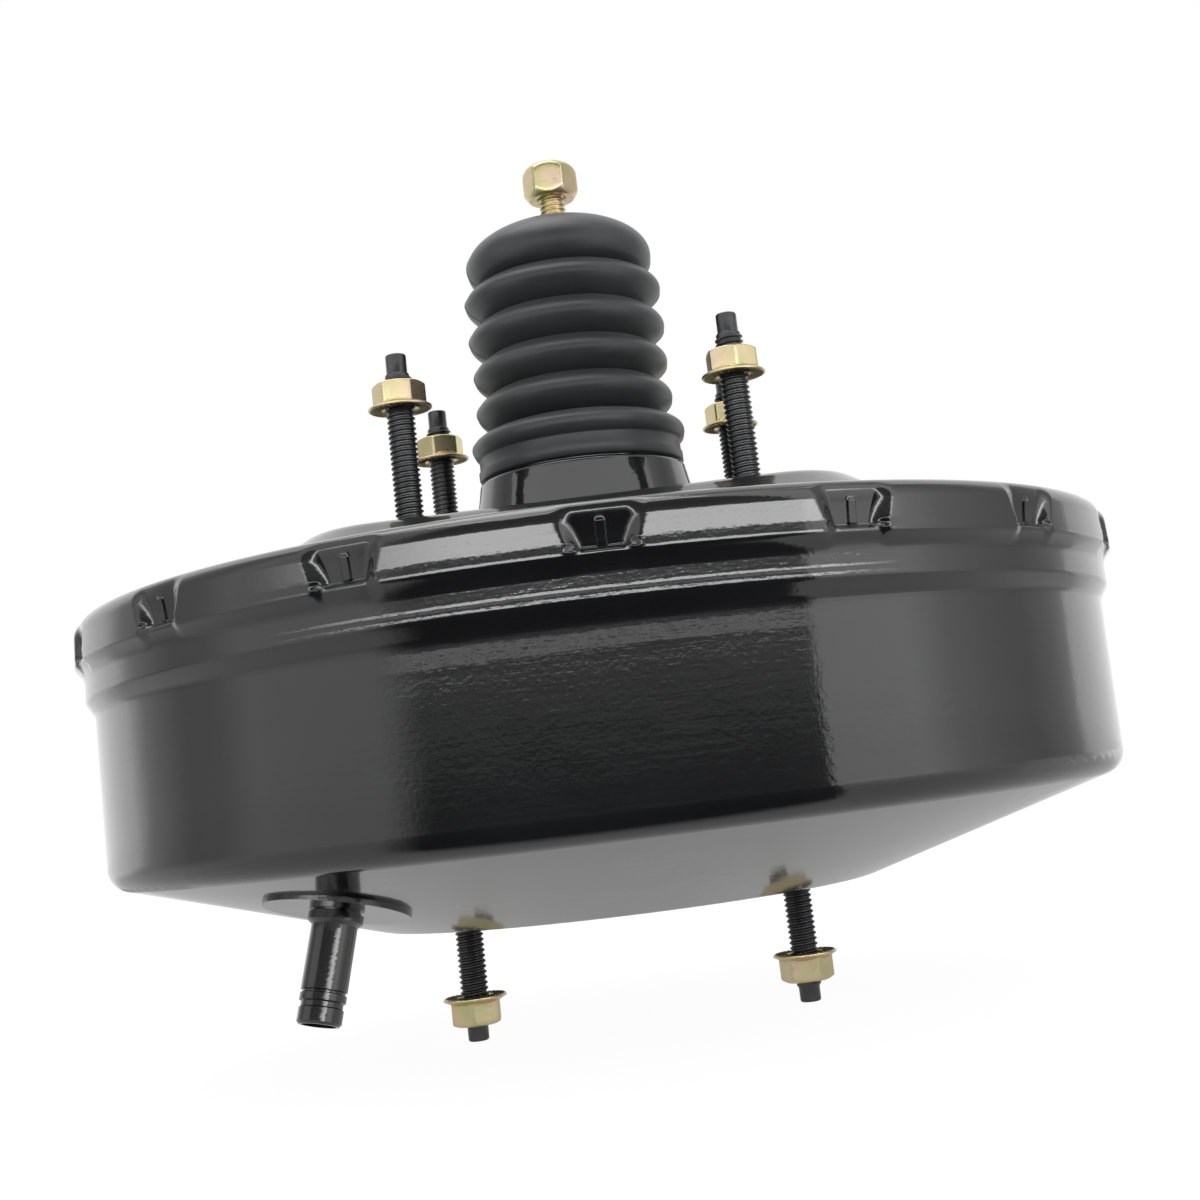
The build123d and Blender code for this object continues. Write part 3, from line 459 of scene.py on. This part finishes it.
def crimp_columns():
    """Angles round the rim: fine steps across each crimp and eight wide ones to halfway to the next."""
    half_way = 180.0 / CRIMPS
    near = np.arange(-27, 28) * COLUMN_STEP
    far = near[-1] + (np.arange(1, 8) / 8) * (half_way - near[-1])
    one = np.concatenate([[-half_way], -far[::-1], near, far])
    centres = [CRIMP_ANGLE + 360.0 / CRIMPS * k for k in range(CRIMPS)]
    return np.radians(np.concatenate([centre + one * COLUMN_SHRINK for centre in centres]))


def beside_crimp(theta):
    """Distance along the rim from each column to the middle of its nearest crimp."""
    step = 2 * math.pi / CRIMPS
    return ((theta - math.radians(CRIMP_ANGLE) + step / 2) % step - step / 2) * RIM_R


shell_theta = crimp_columns()
along = beside_crimp(shell_theta)


def crimp_depth(z):
    """How far each column of the skirt is pushed in at one height.

    A crimp is a pocket that narrows and deepens downwards, a shallow lip across its foot, an upright
    rib left standing in its middle and a small round mark, an ear, on each side of its foot.
    """
    side = np.abs(along)
    down = min(max((POCKET_TOP - z) / POCKET_HEIGHT, 0.0), 1.0)
    half = POCKET_HALF_WIDTH - POCKET_TAPER * down
    pocket = POCKET_TOP_DEPTH * (1 - (1 - down) ** 3) + POCKET_FOOT_DEPTH * down
    wall = POCKET_WALL - POCKET_WALL_TAPER * down
    pocket = pocket * smooth((half - side) / wall) * smooth((z + 26.0) / 1.7)
    lip = LIP_DEPTH * smooth((8.6 - side) / 3.6) * smooth((-23.0 - z) / 2.0)
    rib = RIB_HEIGHT * (smooth((1.15 - side) / 0.35) * smooth((-18.6 - z) / 0.8) * smooth((z + 24.6) / 0.6))
    depth = np.maximum(pocket, lip) - rib
    for place in EAR_PLACES:
        away = np.hypot(along - place, (z - EAR_Z) * 1.1)
        depth = depth + EAR_DEPTH * bell(away, 0.6) - EAR_RIM * bell(away - 1.1, 0.45)
    return np.maximum(depth, 0.0)


def dish_height(r):
    """Height of the sloping face without the pad: a shelf, a cone and a level edge."""
    slope = (RIM_Z - SHELF_Z) / (SLOPE_END_R - SHELF_R)
    shelf = soft_min(SHELF_Z, SHELF_Z + slope * (r - SHELF_R), 0.25)
    return soft_max(shelf, RIM_Z, 0.22)


def top_height(x, y):
    """Height of the pressed face: the raised pad over the dish."""
    dx = np.abs(x) - (PAD_HALF_X - PAD_CORNER)
    dy = np.abs(y) - (PAD_HALF_Y - PAD_CORNER)
    away = np.hypot(np.maximum(dx, 0), np.maximum(dy, 0)) + np.minimum(np.maximum(dx, dy), 0) - PAD_CORNER
    slope = math.tan(math.radians(PAD_SLOPE))
    rounded = -slope * (away + PAD_CREST) ** 2 / (4 * PAD_CREST)
    pad = np.where(away < -PAD_CREST, 0.0, np.where(away > PAD_CREST, -slope * away, rounded))
    return soft_max(pad, dish_height(np.hypot(x, y)), 0.45)


def shell_ring(radius, height):
    return ring_points(shell_theta, radius, height)


def rings(points):
    return [shell_ring(r, z) for r, z in points]


def face_rings(radii, drop):
    """Rings on the pressed face, or on its underside where drop is the sheet's thickness."""
    rows = []
    for r in radii:
        x, y = r * np.cos(shell_theta), r * np.sin(shell_theta)
        rows.append(np.stack([x, y, top_height(x, y) - drop], axis=1))
    return rows


def neck_rings():
    """From the neck's inner edge, over its lip and step, down to the pad."""
    lip = [(22.9, 23.4), (22.9, 24.9), (23.0, 25.0), (25.9, 25.0)] + arc(25.9, 23.5, 1.5, 80, 0, 6)
    step = [(27.4, 16.9), (27.7, 16.6), (28.2, 16.6)] + arc(28.25, 15.2, 1.4, 85, 7, 6)
    foot = [(30.3, 11.5), (31.4, 6.2), (32.4, 1.4), (32.9, 0.5), (33.7, 0.12)]
    return rings(lip + step + foot)


def skirt_rings():
    """The rim's bend, the crimped skirt and the hem that turns in under it."""
    heights = np.arange(BEND_Z, SKIRT_Z - 0.01, -SKIRT_STEP)
    radii = summed_tilts(SKIRT_TILTS, heights, SKIRT_STEP)
    radii = radii + RIM_R - SKIRT_GAP - radii.max()
    rows = []
    for angle in np.arange(90.0, 1.0, -7.4):
        a = math.radians(angle)
        r = BEND_R + (RIM_BEND - (RIM_R - radii[0])) * math.cos(a)
        z = BEND_Z + RIM_BEND * math.sin(a)
        rows.append(shell_ring(r - crimp_depth(z) * math.cos(a), z))
    rows += [shell_ring(r - crimp_depth(z), z) for r, z in zip(radii, heights)]
    edge = radii[-1] - 0.12 - crimp_depth(SKIRT_Z)
    for share in np.linspace(0, 1, 12):
        turned_in = 1 - (1 - share) ** 1.8
        rows.append(shell_ring(edge + (HEM_R - edge) * turned_in, SKIRT_Z - 0.08 - HEM_DROP * share))
    return rows


def inner_rings():
    """Back up inside the skirt, under the face and up inside the neck."""
    rows = rings([(137.6, -30.1), (135.6, -27.0)])
    rows += [shell_ring(RIM_R - SHEET - crimp_depth(z), z) for z in np.arange(-26.0, -19.0, 0.8)]
    rows += rings(arc(BEND_R, BEND_Z, RIM_BEND - SHEET, 12, 90, 5))
    rows += face_rings(list(np.arange(132.0, 34.0, -3.0)) + [33.0], SHEET)
    return rows + rings([(31.2, 0.0), (27.9, 14.9), (25.9, 15.6), (25.8, 23.4)])


def rear_shell_surface():
    pad_radii = [35.0] + list(np.arange(38.0, 56.0, 3.0))
    slope_radii = list(np.arange(57.0, 128.1, 1.1)) + [129.3, 131.5, 133.8]
    rows = neck_rings() + face_rings(pad_radii + slope_radii, 0.0) + skirt_rings() + inner_rings()
    rows.append(rows[0])
    return np.concatenate(rows), grid_faces(len(rows), len(shell_theta))


rear_shell = dress(make_piece("rear_shell_crimped", [rear_shell_surface()], 42), paint)
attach(rear_shell, "housing")
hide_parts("rear_shell")


# ---- threaded studs ----------------------------------------------------------------------
def stud(face, tip, pilot_length, taper):
    """One stud along Z: a flat head behind the sheet's face, a threaded shank and a bare pilot."""
    out = 1 if tip > face else -1
    root = tip - pilot_length * out
    head_outline = [(0.01, 6.6), (7.6, 6.6), (8.0, 6.2), (8.0, 3.6), (3.9, 3.6), (3.9, 0.4), (3.2, 0.2)]
    head = lathe([(r, face - behind * out) for r, behind in head_outline], 48)
    start = face - 0.3 * out
    if out > 0:
        shank = thread(start, root, fade_high=1.2)
    else:
        shank = thread(root, start, fade_low=1.2)
    pilot_foot = [(3.17, root - 0.1 * out), (3.08, root + 0.1 * out), (2.82, root + taper * out)]
    pilot_end = arc(2.2, tip - 0.6 * out, 0.6, 0, 90 * out, 6) + [(1.2, tip), (0.01, tip)]
    pilot = lathe(pilot_foot + [(2.8, tip - 0.9 * out)] + pilot_end, 48)
    return [head, shank, pilot]


rear_stud = stud(REAR_FACE, REAR_STUD_TIP, 5.7, 0.55)
shells = [moved(shell, (x, y, 0)) for x, y in REAR_STUDS for shell in rear_stud]
mounting_studs = dress(make_piece("mounting_studs_threaded", shells, 40), oxide)
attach(mounting_studs, "housing")
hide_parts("mounting_studs")

front_stud = stud(FRONT_FACE, FRONT_STUD_TIP, 4.3, 0.5)
shells = [moved(shell, (x, y, 0)) for x, y in FRONT_STUDS for shell in front_stud]
front_studs = dress(make_piece("master_cylinder_studs_threaded", shells, 40), oxide)
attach(front_studs, "housing")
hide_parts("master_cylinder_studs")


# ---- serrated flange nuts -----------------------------------------------------------------
NUT_TEETH, TOOTH_HEIGHT = 30, 0.42
FLANGE_R, FLANGE_TOP = 8.1, 1.1


def flange_nut():
    """Hexagon on a flange whose lower face carries a ring of locking teeth; seat at z 0."""
    bore = [(NUT_BORE_R, 7.1), (NUT_BORE_R, 4.0), (NUT_BORE_R, 0.9), (4.5, 0.42), (4.95, 0.36), (5.0, 0.34)]
    teeth = [(5.4, 0.0), (6.2, 0.0), (7.0, 0.0), (7.8, 0.0)]
    flange = [(FLANGE_R, 0.22), (8.36, 0.24), (8.52, 0.38), (8.58, 0.6), (8.54, 0.82), (8.38, 0.98)]
    flange.append((FLANGE_R, FLANGE_TOP))
    side_heights = (
        1.25, 1.45, 1.7, 2.0, 2.4, 3.2, 4.2, 5.2, 5.8, 6.2, 6.5, 6.8, 7.0, 7.15, 7.3, 7.42, 7.52, 7.6, 7.66,
    )
    sides = [(0, z) for z in side_heights]
    top = [(5.6, NUT_HEIGHT), (4.7, NUT_HEIGHT), (4.5, NUT_HEIGHT - 0.05), (NUT_BORE_R, NUT_HEIGHT - 0.6)]
    tooth_rows = range(len(bore), len(bore + teeth))
    side_rows = range(len(bore + teeth + flange), len(bore + teeth + flange + sides))

    def shape(theta, r, z, k):
        if k in tooth_rows:
            phase = (theta * NUT_TEETH / (2 * math.pi)) % 1.0
            tooth = np.where(phase < 0.75, phase / 0.75, (1 - phase) / 0.25)
            return r, TOOTH_HEIGHT * (1 - tooth)
        if k in side_rows:
            cone = 5.72 + (NUT_HEIGHT - z) * 1.9
            side = soft_min(hexagon(theta, NUT_FLATS), cone, 0.10)
            if z > 7.5:
                side = side - 0.35 * ((z - 7.5) / 0.2) ** 2
            return soft_max(side, FLANGE_R - (z - FLANGE_TOP) * 2.0, 0.10), z
        return r, z

    return surface(bore + teeth + flange + sides + top, shape, 240)


nut = flange_nut()
rear_nuts = zip(REAR_STUDS, REAR_SEATS, REAR_TURNS)
shells = [moved(nut, (x, y, z), turn) for (x, y), z, turn in rear_nuts]
mounting_nuts = dress(make_piece("mounting_flange_nuts", shells, 32), zinc)
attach(mounting_nuts, "housing")
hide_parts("mounting_nuts")

cylinder_nuts = zip(FRONT_STUDS, FRONT_SEATS, FRONT_TURNS)
shells = [moved(nut, (x, y, z), turn, flip=True) for (x, y), z, turn in cylinder_nuts]
front_nuts = dress(make_piece("master_cylinder_flange_nuts", shells, 32), zinc)
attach(front_nuts, "housing")
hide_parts("master_cylinder_nuts")


# ---- push rod and its lock nut --------------------------------------------------------------
BALL_Z, BALL_R = -11.0, 5.5
ROD_TIP = LOCK_NUT_Z + 10.4


def push_rod_shells():
    """The rod from its ball to its threaded end, with the collar that the spring seat sits on."""
    ball_and_neck = arc(0, BALL_Z, BALL_R, -89.9, 48.0, 20) + [(3.62, -6.2), (3.6, -3.4), (4.2, -1.0)]
    collar = [(4.2, 26.0), (5.0, 27.0), (5.0, 31.5), (8.0, 31.5), (8.0, 33.5), (5.0, 34.2)]
    shank = [(5.0, 84.0), (3.9, 85.0), (3.2, 85.3)]
    end = [(3.18, ROD_TIP - 0.6), (3.1, ROD_TIP - 0.3), (2.6, ROD_TIP), (0.01, ROD_TIP)]
    threaded = thread(85.2, ROD_TIP - 0.5, fade_high=0.9)
    return [lathe(ball_and_neck + collar + shank, 64), threaded, lathe(end, 48)]


push_rod = dress(make_piece("push_rod_threaded", push_rod_shells(), 40), zinc)
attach(push_rod, "input_rod")
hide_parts("input_rod")


def lock_nut_surface():
    """A tall nut with rounded ends: the hexagon is cut by a barrel-shaped limit."""
    bore_r = LOCK_NUT_BORE_R
    seat = [(bore_r, 1.0), (4.5, 0.15), (4.7, 0.0), (5.8, 0.0)]
    low_end = [(6.6, 0.0), (7.3, 0.75), (8.0, 1.7), (8.4, 2.6), (8.42, 4.5)]
    high_end = [(8.4, 6.8), (8.05, 8.1), (7.4, 9.2), (6.4, 10.1)]
    barrel = spline(low_end + high_end, 4)
    crown = [(5.8, 10.5), (5.2, 10.8), (4.7, 10.95), (4.4, 10.9), (bore_r, 10.4), (bore_r, 8.0)]
    side_rows = range(len(seat), len(seat + barrel))

    def shape(theta, r, z, k):
        if k in side_rows:
            return soft_min(hexagon(theta, LOCK_NUT_FLATS, 40.0), r, 0.16), z
        return r, z

    return surface(seat + barrel + crown, shape, 240)


lock_nut_shell = moved(lock_nut_surface(), (0, 0, LOCK_NUT_Z), 30)
lock_nut = dress(make_piece("lock_nut_domed", [lock_nut_shell], 32), zinc)
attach(lock_nut, "input_rod")
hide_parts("lock_nut")

# ---- rubber boot: three pieces that share their end rings ------
BOOT_WALL = 1.2
VALLEY_R = 23.2
# each fold's lower valley, middle, upper valley and the radius of its peak
FOLDS = [
    (31.4, 36.95, 42.3, 28.3), (42.3, 47.6, 52.95, 28.1), (52.95, 58.3, 64.0, 28.5), (64.0, 69.7, 74.9, 28.6),
]
PARTING_ANGLE, PARTING_HALF_WIDTH, PARTING_HEIGHT = math.radians(-170.0), 0.45, 0.28
FOLD_STEPS, DOME_SPLIT = 22, 10


def bellow(low, middle, high, peak):
    """One rounded fold: a nearly circular bulge out to peak, with a tight valley on both sides."""
    out = []
    for k in range(FOLD_STEPS + 1):
        u = -1 + 2 * k / FOLD_STEPS
        half = (high - middle) if u > 0 else (middle - low)
        bulge = (1 - abs(u) ** 1.95) ** 0.92
        out.append((VALLEY_R + (peak - VALLEY_R) * bulge, middle + u * half))
    return out


def inside(line):
    """The same line on the inner side of the boot's wall, run the other way."""
    return [(r - BOOT_WALL, z) for r, z in line][::-1]


def boot_piece(name, outer, rest):
    """A ring-shaped piece of the boot; its outer rows carry the moulding's parting line as a thin rib."""

    def shape(theta, r, z, k):
        if k >= len(outer):
            return r, z
        rib = np.zeros_like(theta)
        for side in (PARTING_ANGLE, PARTING_ANGLE + math.pi):
            away = np.abs((theta - side + math.pi) % (2 * math.pi) - math.pi) * r
            rib = np.maximum(rib, np.clip(1 - away / PARTING_HALF_WIDTH, 0, 1))
        return r + PARTING_HEIGHT * rib, z

    return make_piece(name, [surface(outer + rest + outer[:1], shape, 288)], 50)


cuff_foot = [(27.45, 17.5), (27.6, 17.3), (28.95, 17.3), (29.2, 17.55)]
cuff = cuff_foot + [(29.2, 19.9), (29.1, 20.15), (28.8, 20.5), (28.8, 23.3)]
shoulder = spline(
    [(28.8, 23.4), (29.9, 24.6), (30.5, 26.4), (29.9, 28.4), (27.6, 30.1), (25.0, 30.9), (VALLEY_R, 31.4)],
    6,
)
folds = [point for fold in FOLDS[:-1] for point in bellow(*fold)[:-1]] + bellow(*FOLDS[-1])
dome = spline(
    [
        (VALLEY_R, 74.9), (25.9, 76.6), (27.0, 79.6), (26.6, 82.8), (24.6, 85.8), (21.2, 88.4), (17.0, 90.4),
        (12.6, 91.7), (9.4, 92.3),
    ],
    5,
)
dome_foot, dome_top = dome[: DOME_SPLIT + 1], dome[DOME_SPLIT:]
rod_lip = [(8.9, 92.35), (8.2, 92.6), (4.9, 92.6), (4.5, 92.4), (4.4, 91.8), (4.4, 88.6), (7.0, 88.4)]
dome_inner = [(r - 1.4, z - 1.2) for r, z in dome_top[1:]][::-1]
cuff_inner = [(26.2, 27.6), (26.4, 25.3), (27.45, 25.1)]

boot_lower = boot_piece("boot_cuff_and_folds", cuff + shoulder[:-1] + folds, inside(folds) + cuff_inner)
boot_middle = boot_piece("boot_dome_foot", dome_foot, inside(dome_foot))
boot_upper = boot_piece("boot_dome", dome_top, rod_lip + dome_inner)
for piece in (boot_lower, boot_middle, boot_upper):
    dress(piece, rubber)
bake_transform(boot_lower)
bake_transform(boot_middle)
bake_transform(boot_upper)
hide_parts("boot")


# ---- hidden springs and diaphragm: copies of the CAD pieces -----
def flexing(node, name, within=None):
    """A free copy of a CAD piece, or of its part between two radii."""
    mesh = nodes[node].data.copy()
    mesh.transform(nodes[node].matrix_world)
    if within:
        low, high = within
        bm = bmesh.new()
        bm.from_mesh(mesh)
        centres = [(face, face.calc_center_median()) for face in bm.faces]
        extra = [face for face, c in centres if not low * MM <= math.hypot(c.x, c.y) < high * MM]
        bmesh.ops.delete(bm, geom=extra, context="FACES")
        bm.to_mesh(mesh)
        bm.free()
    obj = add_object(name, mesh)
    return obj


coil = flexing("return_spring", "return_spring_coil")
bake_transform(coil)
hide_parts("return_spring")
coil = flexing("rod_spring", "rod_spring_coil")
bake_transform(coil)
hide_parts("rod_spring")
sheet = flexing("diaphragm", "diaphragm_sheet", (0.0, 119.0))
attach(sheet, "power_piston")
roll = flexing("diaphragm", "diaphragm_roll", (119.0, 150.0))
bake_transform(roll)
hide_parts("diaphragm")

# ---- camera, fitted to the photo: angles in radians, place in metres, lens in pixels ----------------
YAW, PITCH_UP, ROLL = -0.01647, 0.20002, -0.12043
CAMERA_PLACE = (0.02519, -0.47283, -0.07419)
PICTURE_PX, FOCAL_PX, CENTRE_X_PX, CENTRE_Y_PX = 1200, 1679.52, 641.22, 451.73
SENSOR = 36.0


def add_camera():
    level = math.cos(PITCH_UP)
    forward = Vector((math.sin(YAW) * level, math.cos(YAW) * level, math.sin(PITCH_UP)))
    right = Vector((math.cos(YAW), -math.sin(YAW), 0.0))
    up = right.cross(forward)
    axis_x = right * math.cos(ROLL) + up * math.sin(ROLL)
    axis_y = up * math.cos(ROLL) - right * math.sin(ROLL)
    data = bpy.data.cameras.new("camera")
    data.sensor_fit = "HORIZONTAL"
    data.sensor_width = SENSOR
    data.lens = SENSOR * FOCAL_PX / PICTURE_PX
    data.shift_x = (PICTURE_PX / 2 - CENTRE_X_PX) / PICTURE_PX
    data.shift_y = (CENTRE_Y_PX - PICTURE_PX / 2) / PICTURE_PX
    data.clip_start = 0.01
    camera = add_object("camera", data)
    turn = Matrix((axis_x, axis_y, -forward)).transposed().to_4x4()
    camera.matrix_world = Matrix.Translation(CAMERA_PLACE) @ turn
    scene.camera = camera


add_camera()


# ---- floor, world and lamps -------------------------------------------------------------------------
class Stage:
    """Shader nodes for the floor, the card and the world, built from numbers and sockets."""

    def __init__(self, owner):
        owner.use_nodes = True
        self.tree = owner.node_tree
        self.tree.nodes.clear()

    def node(self, kind, *inputs):
        node = self.tree.nodes.new(kind)
        for key, value in enumerate(inputs):
            if isinstance(value, bpy.types.NodeSocket):
                self.tree.links.new(value, node.inputs[key])
            else:
                node.inputs[key].default_value = value
        return node

    def calc(self, operation, *inputs):
        node = self.node("ShaderNodeMath", *inputs)
        node.operation = operation
        return node.outputs[0]

    def split(self, coordinates):
        """X, Y and Z of one kind of texture coordinates."""
        place = self.node("ShaderNodeTexCoord").outputs[coordinates]
        outputs = self.node("ShaderNodeSeparateXYZ", place).outputs
        return outputs["X"], outputs["Y"], outputs["Z"]

    def azimuth(self, x, y):
        """Degrees from the camera's side towards +X."""
        return self.calc("MULTIPLY", self.calc("ARCTAN2", x, self.calc("MULTIPLY", y, -1.0)), 180 / math.pi)

    def elevation(self, z):
        """Degrees above the level of a direction whose third part is z."""
        return self.calc("MULTIPLY", self.calc("ARCSINE", z), 180 / math.pi)

    def step(self, value, low, high, out_low=0.0, out_high=1.0):
        node = self.node("ShaderNodeMapRange", value, low, high, out_low, out_high)
        node.interpolation_type = "SMOOTHSTEP"
        return node.outputs[0]

    def line(self, value, stops):
        """Grey against value, through (place, grey) stops."""
        low, high = stops[0][0], stops[-1][0]
        place = self.node("ShaderNodeMapRange", value, low, high, 0.0, 1.0).outputs[0]
        ramp = self.node("ShaderNodeValToRGB", place)
        elements = ramp.color_ramp.elements
        while len(elements) < len(stops):
            elements.new(0.5)
        for element, (at, grey) in zip(elements, stops):
            element.position = (at - low) / (high - low)
            element.color = (grey, grey, grey, 1.0)
        return ramp.outputs["Color"]

    def blend(self, share, a, b):
        """a where share is 0, b where it is 1."""
        part_a = self.calc("MULTIPLY", a, self.calc("SUBTRACT", 1.0, share))
        return self.calc("ADD", part_a, self.calc("MULTIPLY", b, share))

    def window(self, value, low, high, soft_low, soft_high):
        """1 between low and high, falling to 0 over each soft distance."""
        rise = self.step(value, low - soft_low, low + soft_low)
        fall = self.step(value, high - soft_high, high + soft_high, 1.0, 0.0)
        return self.calc("MULTIPLY", rise, fall)

    def emission(self, strength):
        return self.node("ShaderNodeEmission", WHITE, strength).outputs[0]

    def background(self, strength):
        return self.node("ShaderNodeBackground", WHITE, strength).outputs[0]

    def mix(self, share, a, b):
        return self.node("ShaderNodeMixShader", share, a, b).outputs[0]


WHITE = (1, 1, 1, 1)
FRONT_AZIMUTHS = (-40.0, 47.0)
SIDE_LEVELS = [
    (-180, 1.0), (-122, 1.0), (-114, 0.52), (-97, 0.36), (-86, 0.46), (-76, 0.74), (-44, 0.76), (46, 0.8),
    (47.5, 1.3), (70, 1.3), (80, 0.85), (92, 0.58), (104, 0.40), (117, 0.44), (123, 0.55), (125, 1.0),
    (180, 1.0),
]
FRONT_LEVELS = [
    (-10, 0.05), (-2.5, 0.10), (0.0, 0.20), (2.6, 0.24), (2.9, 1.15), (4.6, 1.15), (5.0, 0.16), (7.0, 0.22),
    (8.0, 0.5), (8.9, 0.6), (16.0, 0.2), (40, 0.12), (90, 0.12),
]
STRIP_GLOW, CARD_GLOW, SEEN_FLOOR_GLOW = 4.8, 1.25, 1.1
# the floor's grey close to the booster, seen only by glossy rays, is painted shade where the booster shades
# the floor
NEAR_FLOOR_SHADE, FAR_FLOOR_SHARE, DIFFUSE_GREY = 0.54, 0.9, 0.62
FLOOR_Z, FLOOR_REACH = -0.1337, 6.0
# the floor's dark front fades in between two places on Y; its azimuths turn about a point ahead of the axis
FRONT_FLOOR_EDGE, AZIMUTH_AHEAD = (-0.13, -0.16), 0.06


def floor_material():
    """White far off for the camera, pale close by, and for glossy rays a dark front between lit sides, with
    painted shade on the floor close to the booster.
    """
    material = bpy.data.materials.new("pale_floor")
    stage = Stage(material)
    path = stage.node("ShaderNodeLightPath").outputs
    x, y, _ = stage.split("Object")
    azimuth = stage.azimuth(x, stage.calc("ADD", y, AZIMUTH_AHEAD))
    squares = stage.calc("ADD", stage.calc("MULTIPLY", x, x), stage.calc("MULTIPLY", y, y))
    distance = stage.calc("POWER", squares, 0.5)
    front = stage.window(azimuth, *FRONT_AZIMUTHS, 6.0, 1.5)
    front = stage.calc("MULTIPLY", front, stage.step(y, *FRONT_FLOOR_EDGE))
    far_sides = stage.calc("MULTIPLY", stage.line(azimuth, SIDE_LEVELS), FAR_FLOOR_SHARE)
    # painted shade: glossy rays see the floor greyer within about half a metre of the booster, fading out
    # further away
    sides = stage.blend(stage.step(distance, 0.25, 0.7), NEAR_FLOOR_SHADE, far_sides)
    mirrored = stage.emission(stage.blend(front, sides, stage.step(distance, 0.6, 2.5, 0.0, 0.05)))
    pale = stage.node("ShaderNodeBsdfDiffuse", (0.88, 0.88, 0.88, 1)).outputs[0]
    seen = stage.mix(stage.step(distance, 0.3, 0.75, 0.87, 1.0), pale, stage.emission(SEEN_FLOOR_GLOW))
    shader = stage.mix(path["Is Camera Ray"], pale, seen)
    mirroring_ray = stage.calc("MAXIMUM", path["Is Glossy Ray"], path["Is Transmission Ray"])
    stage.node("ShaderNodeOutputMaterial", stage.mix(mirroring_ray, shader, mirrored))
    return material


corners = [(x * FLOOR_REACH, y * FLOOR_REACH, FLOOR_Z) for x, y in ((-1, -1), (1, -1), (1, 1), (-1, 1))]
floor_mesh = bpy.data.meshes.new("floor")
floor_mesh.from_pydata(corners, [], [(0, 1, 2, 3)])
floor_mesh.materials.append(floor_material())
floor = add_object("floor", floor_mesh)

CARD_RADIUS, CARD_LOW, CARD_HIGH, CARD_HALF_ANGLE = 0.155, 0.060, 0.125, 76.0


def card_material():
    """An even glow for the card, which only glossy rays see."""
    material = bpy.data.materials.new("reflector_card")
    stage = Stage(material)
    stage.node("ShaderNodeOutputMaterial", stage.emission(CARD_GLOW))
    return material


card_angles = np.radians(np.linspace(-CARD_HALF_ANGLE, CARD_HALF_ANGLE, 39))
card_edge = [(CARD_RADIUS * math.sin(a), -CARD_RADIUS * math.cos(a)) for a in card_angles]
card_verts = [(x, y, z) for z in (CARD_LOW, CARD_HIGH) for x, y in card_edge]
card_mesh = bpy.data.meshes.new("reflector_card")
card_mesh.from_pydata(card_verts, [], grid_faces(2, len(card_angles), wrap=False))
card_mesh.materials.append(card_material())
card = add_object("reflector_card", card_mesh)
for ray in ("camera", "diffuse", "transmission", "volume_scatter", "shadow"):
    setattr(card, "visible_" + ray, False)


def add_world():
    """White for the camera, even for diffuse rays, and a studio with a lit strip for glossy rays."""
    world = bpy.data.worlds.new("studio")
    scene.world = world
    stage = Stage(world)
    path = stage.node("ShaderNodeLightPath").outputs
    x, y, z = stage.split("Generated")
    azimuth, elevation = stage.azimuth(x, y), stage.elevation(z)
    in_front = stage.window(azimuth, *FRONT_AZIMUTHS, 6.0, 1.2)
    room = stage.blend(in_front, stage.line(azimuth, SIDE_LEVELS), stage.line(elevation, FRONT_LEVELS))
    strip_across = stage.window(azimuth, -46.0, 60.0, 28.0, 12.0)
    strip = stage.calc("MULTIPLY", strip_across, stage.window(elevation, 8.9, 15.0, 0.2, 3.0))
    glossy = stage.background(stage.calc("ADD", room, stage.calc("MULTIPLY", strip, STRIP_GLOW)))
    shader = stage.mix(path["Is Glossy Ray"], stage.background(DIFFUSE_GREY), glossy)
    shader = stage.mix(path["Is Camera Ray"], shader, stage.background(1.0))
    stage.node("ShaderNodeOutputWorld", shader)


add_world()


def add_softbox(name, place, target, width, height, radiance):
    """A rectangular lamp at place, facing target, of a given surface brightness."""
    data = bpy.data.lights.new(name, "AREA")
    data.shape = "RECTANGLE"
    data.size = width
    data.size_y = height
    data.energy = radiance * math.pi * width * height
    lamp = add_object(name, data)
    facing = (Vector(target) - Vector(place)).to_track_quat("-Z", "Y")
    lamp.matrix_world = Matrix.Translation(place) @ facing.to_matrix().to_4x4()
    return lamp


front_lamp = add_softbox("softbox_front", (0.5, -1.3, 0.75), (0, 0, 0.05), 0.9, 0.5, radiance=3.0)
front_lamp.visible_glossy = False
add_softbox("softbox_top", (-0.2, -0.1, 1.5), (0, 0, 0), 1.4, 1.0, radiance=2.2)

scene.view_settings.view_transform = "Standard"
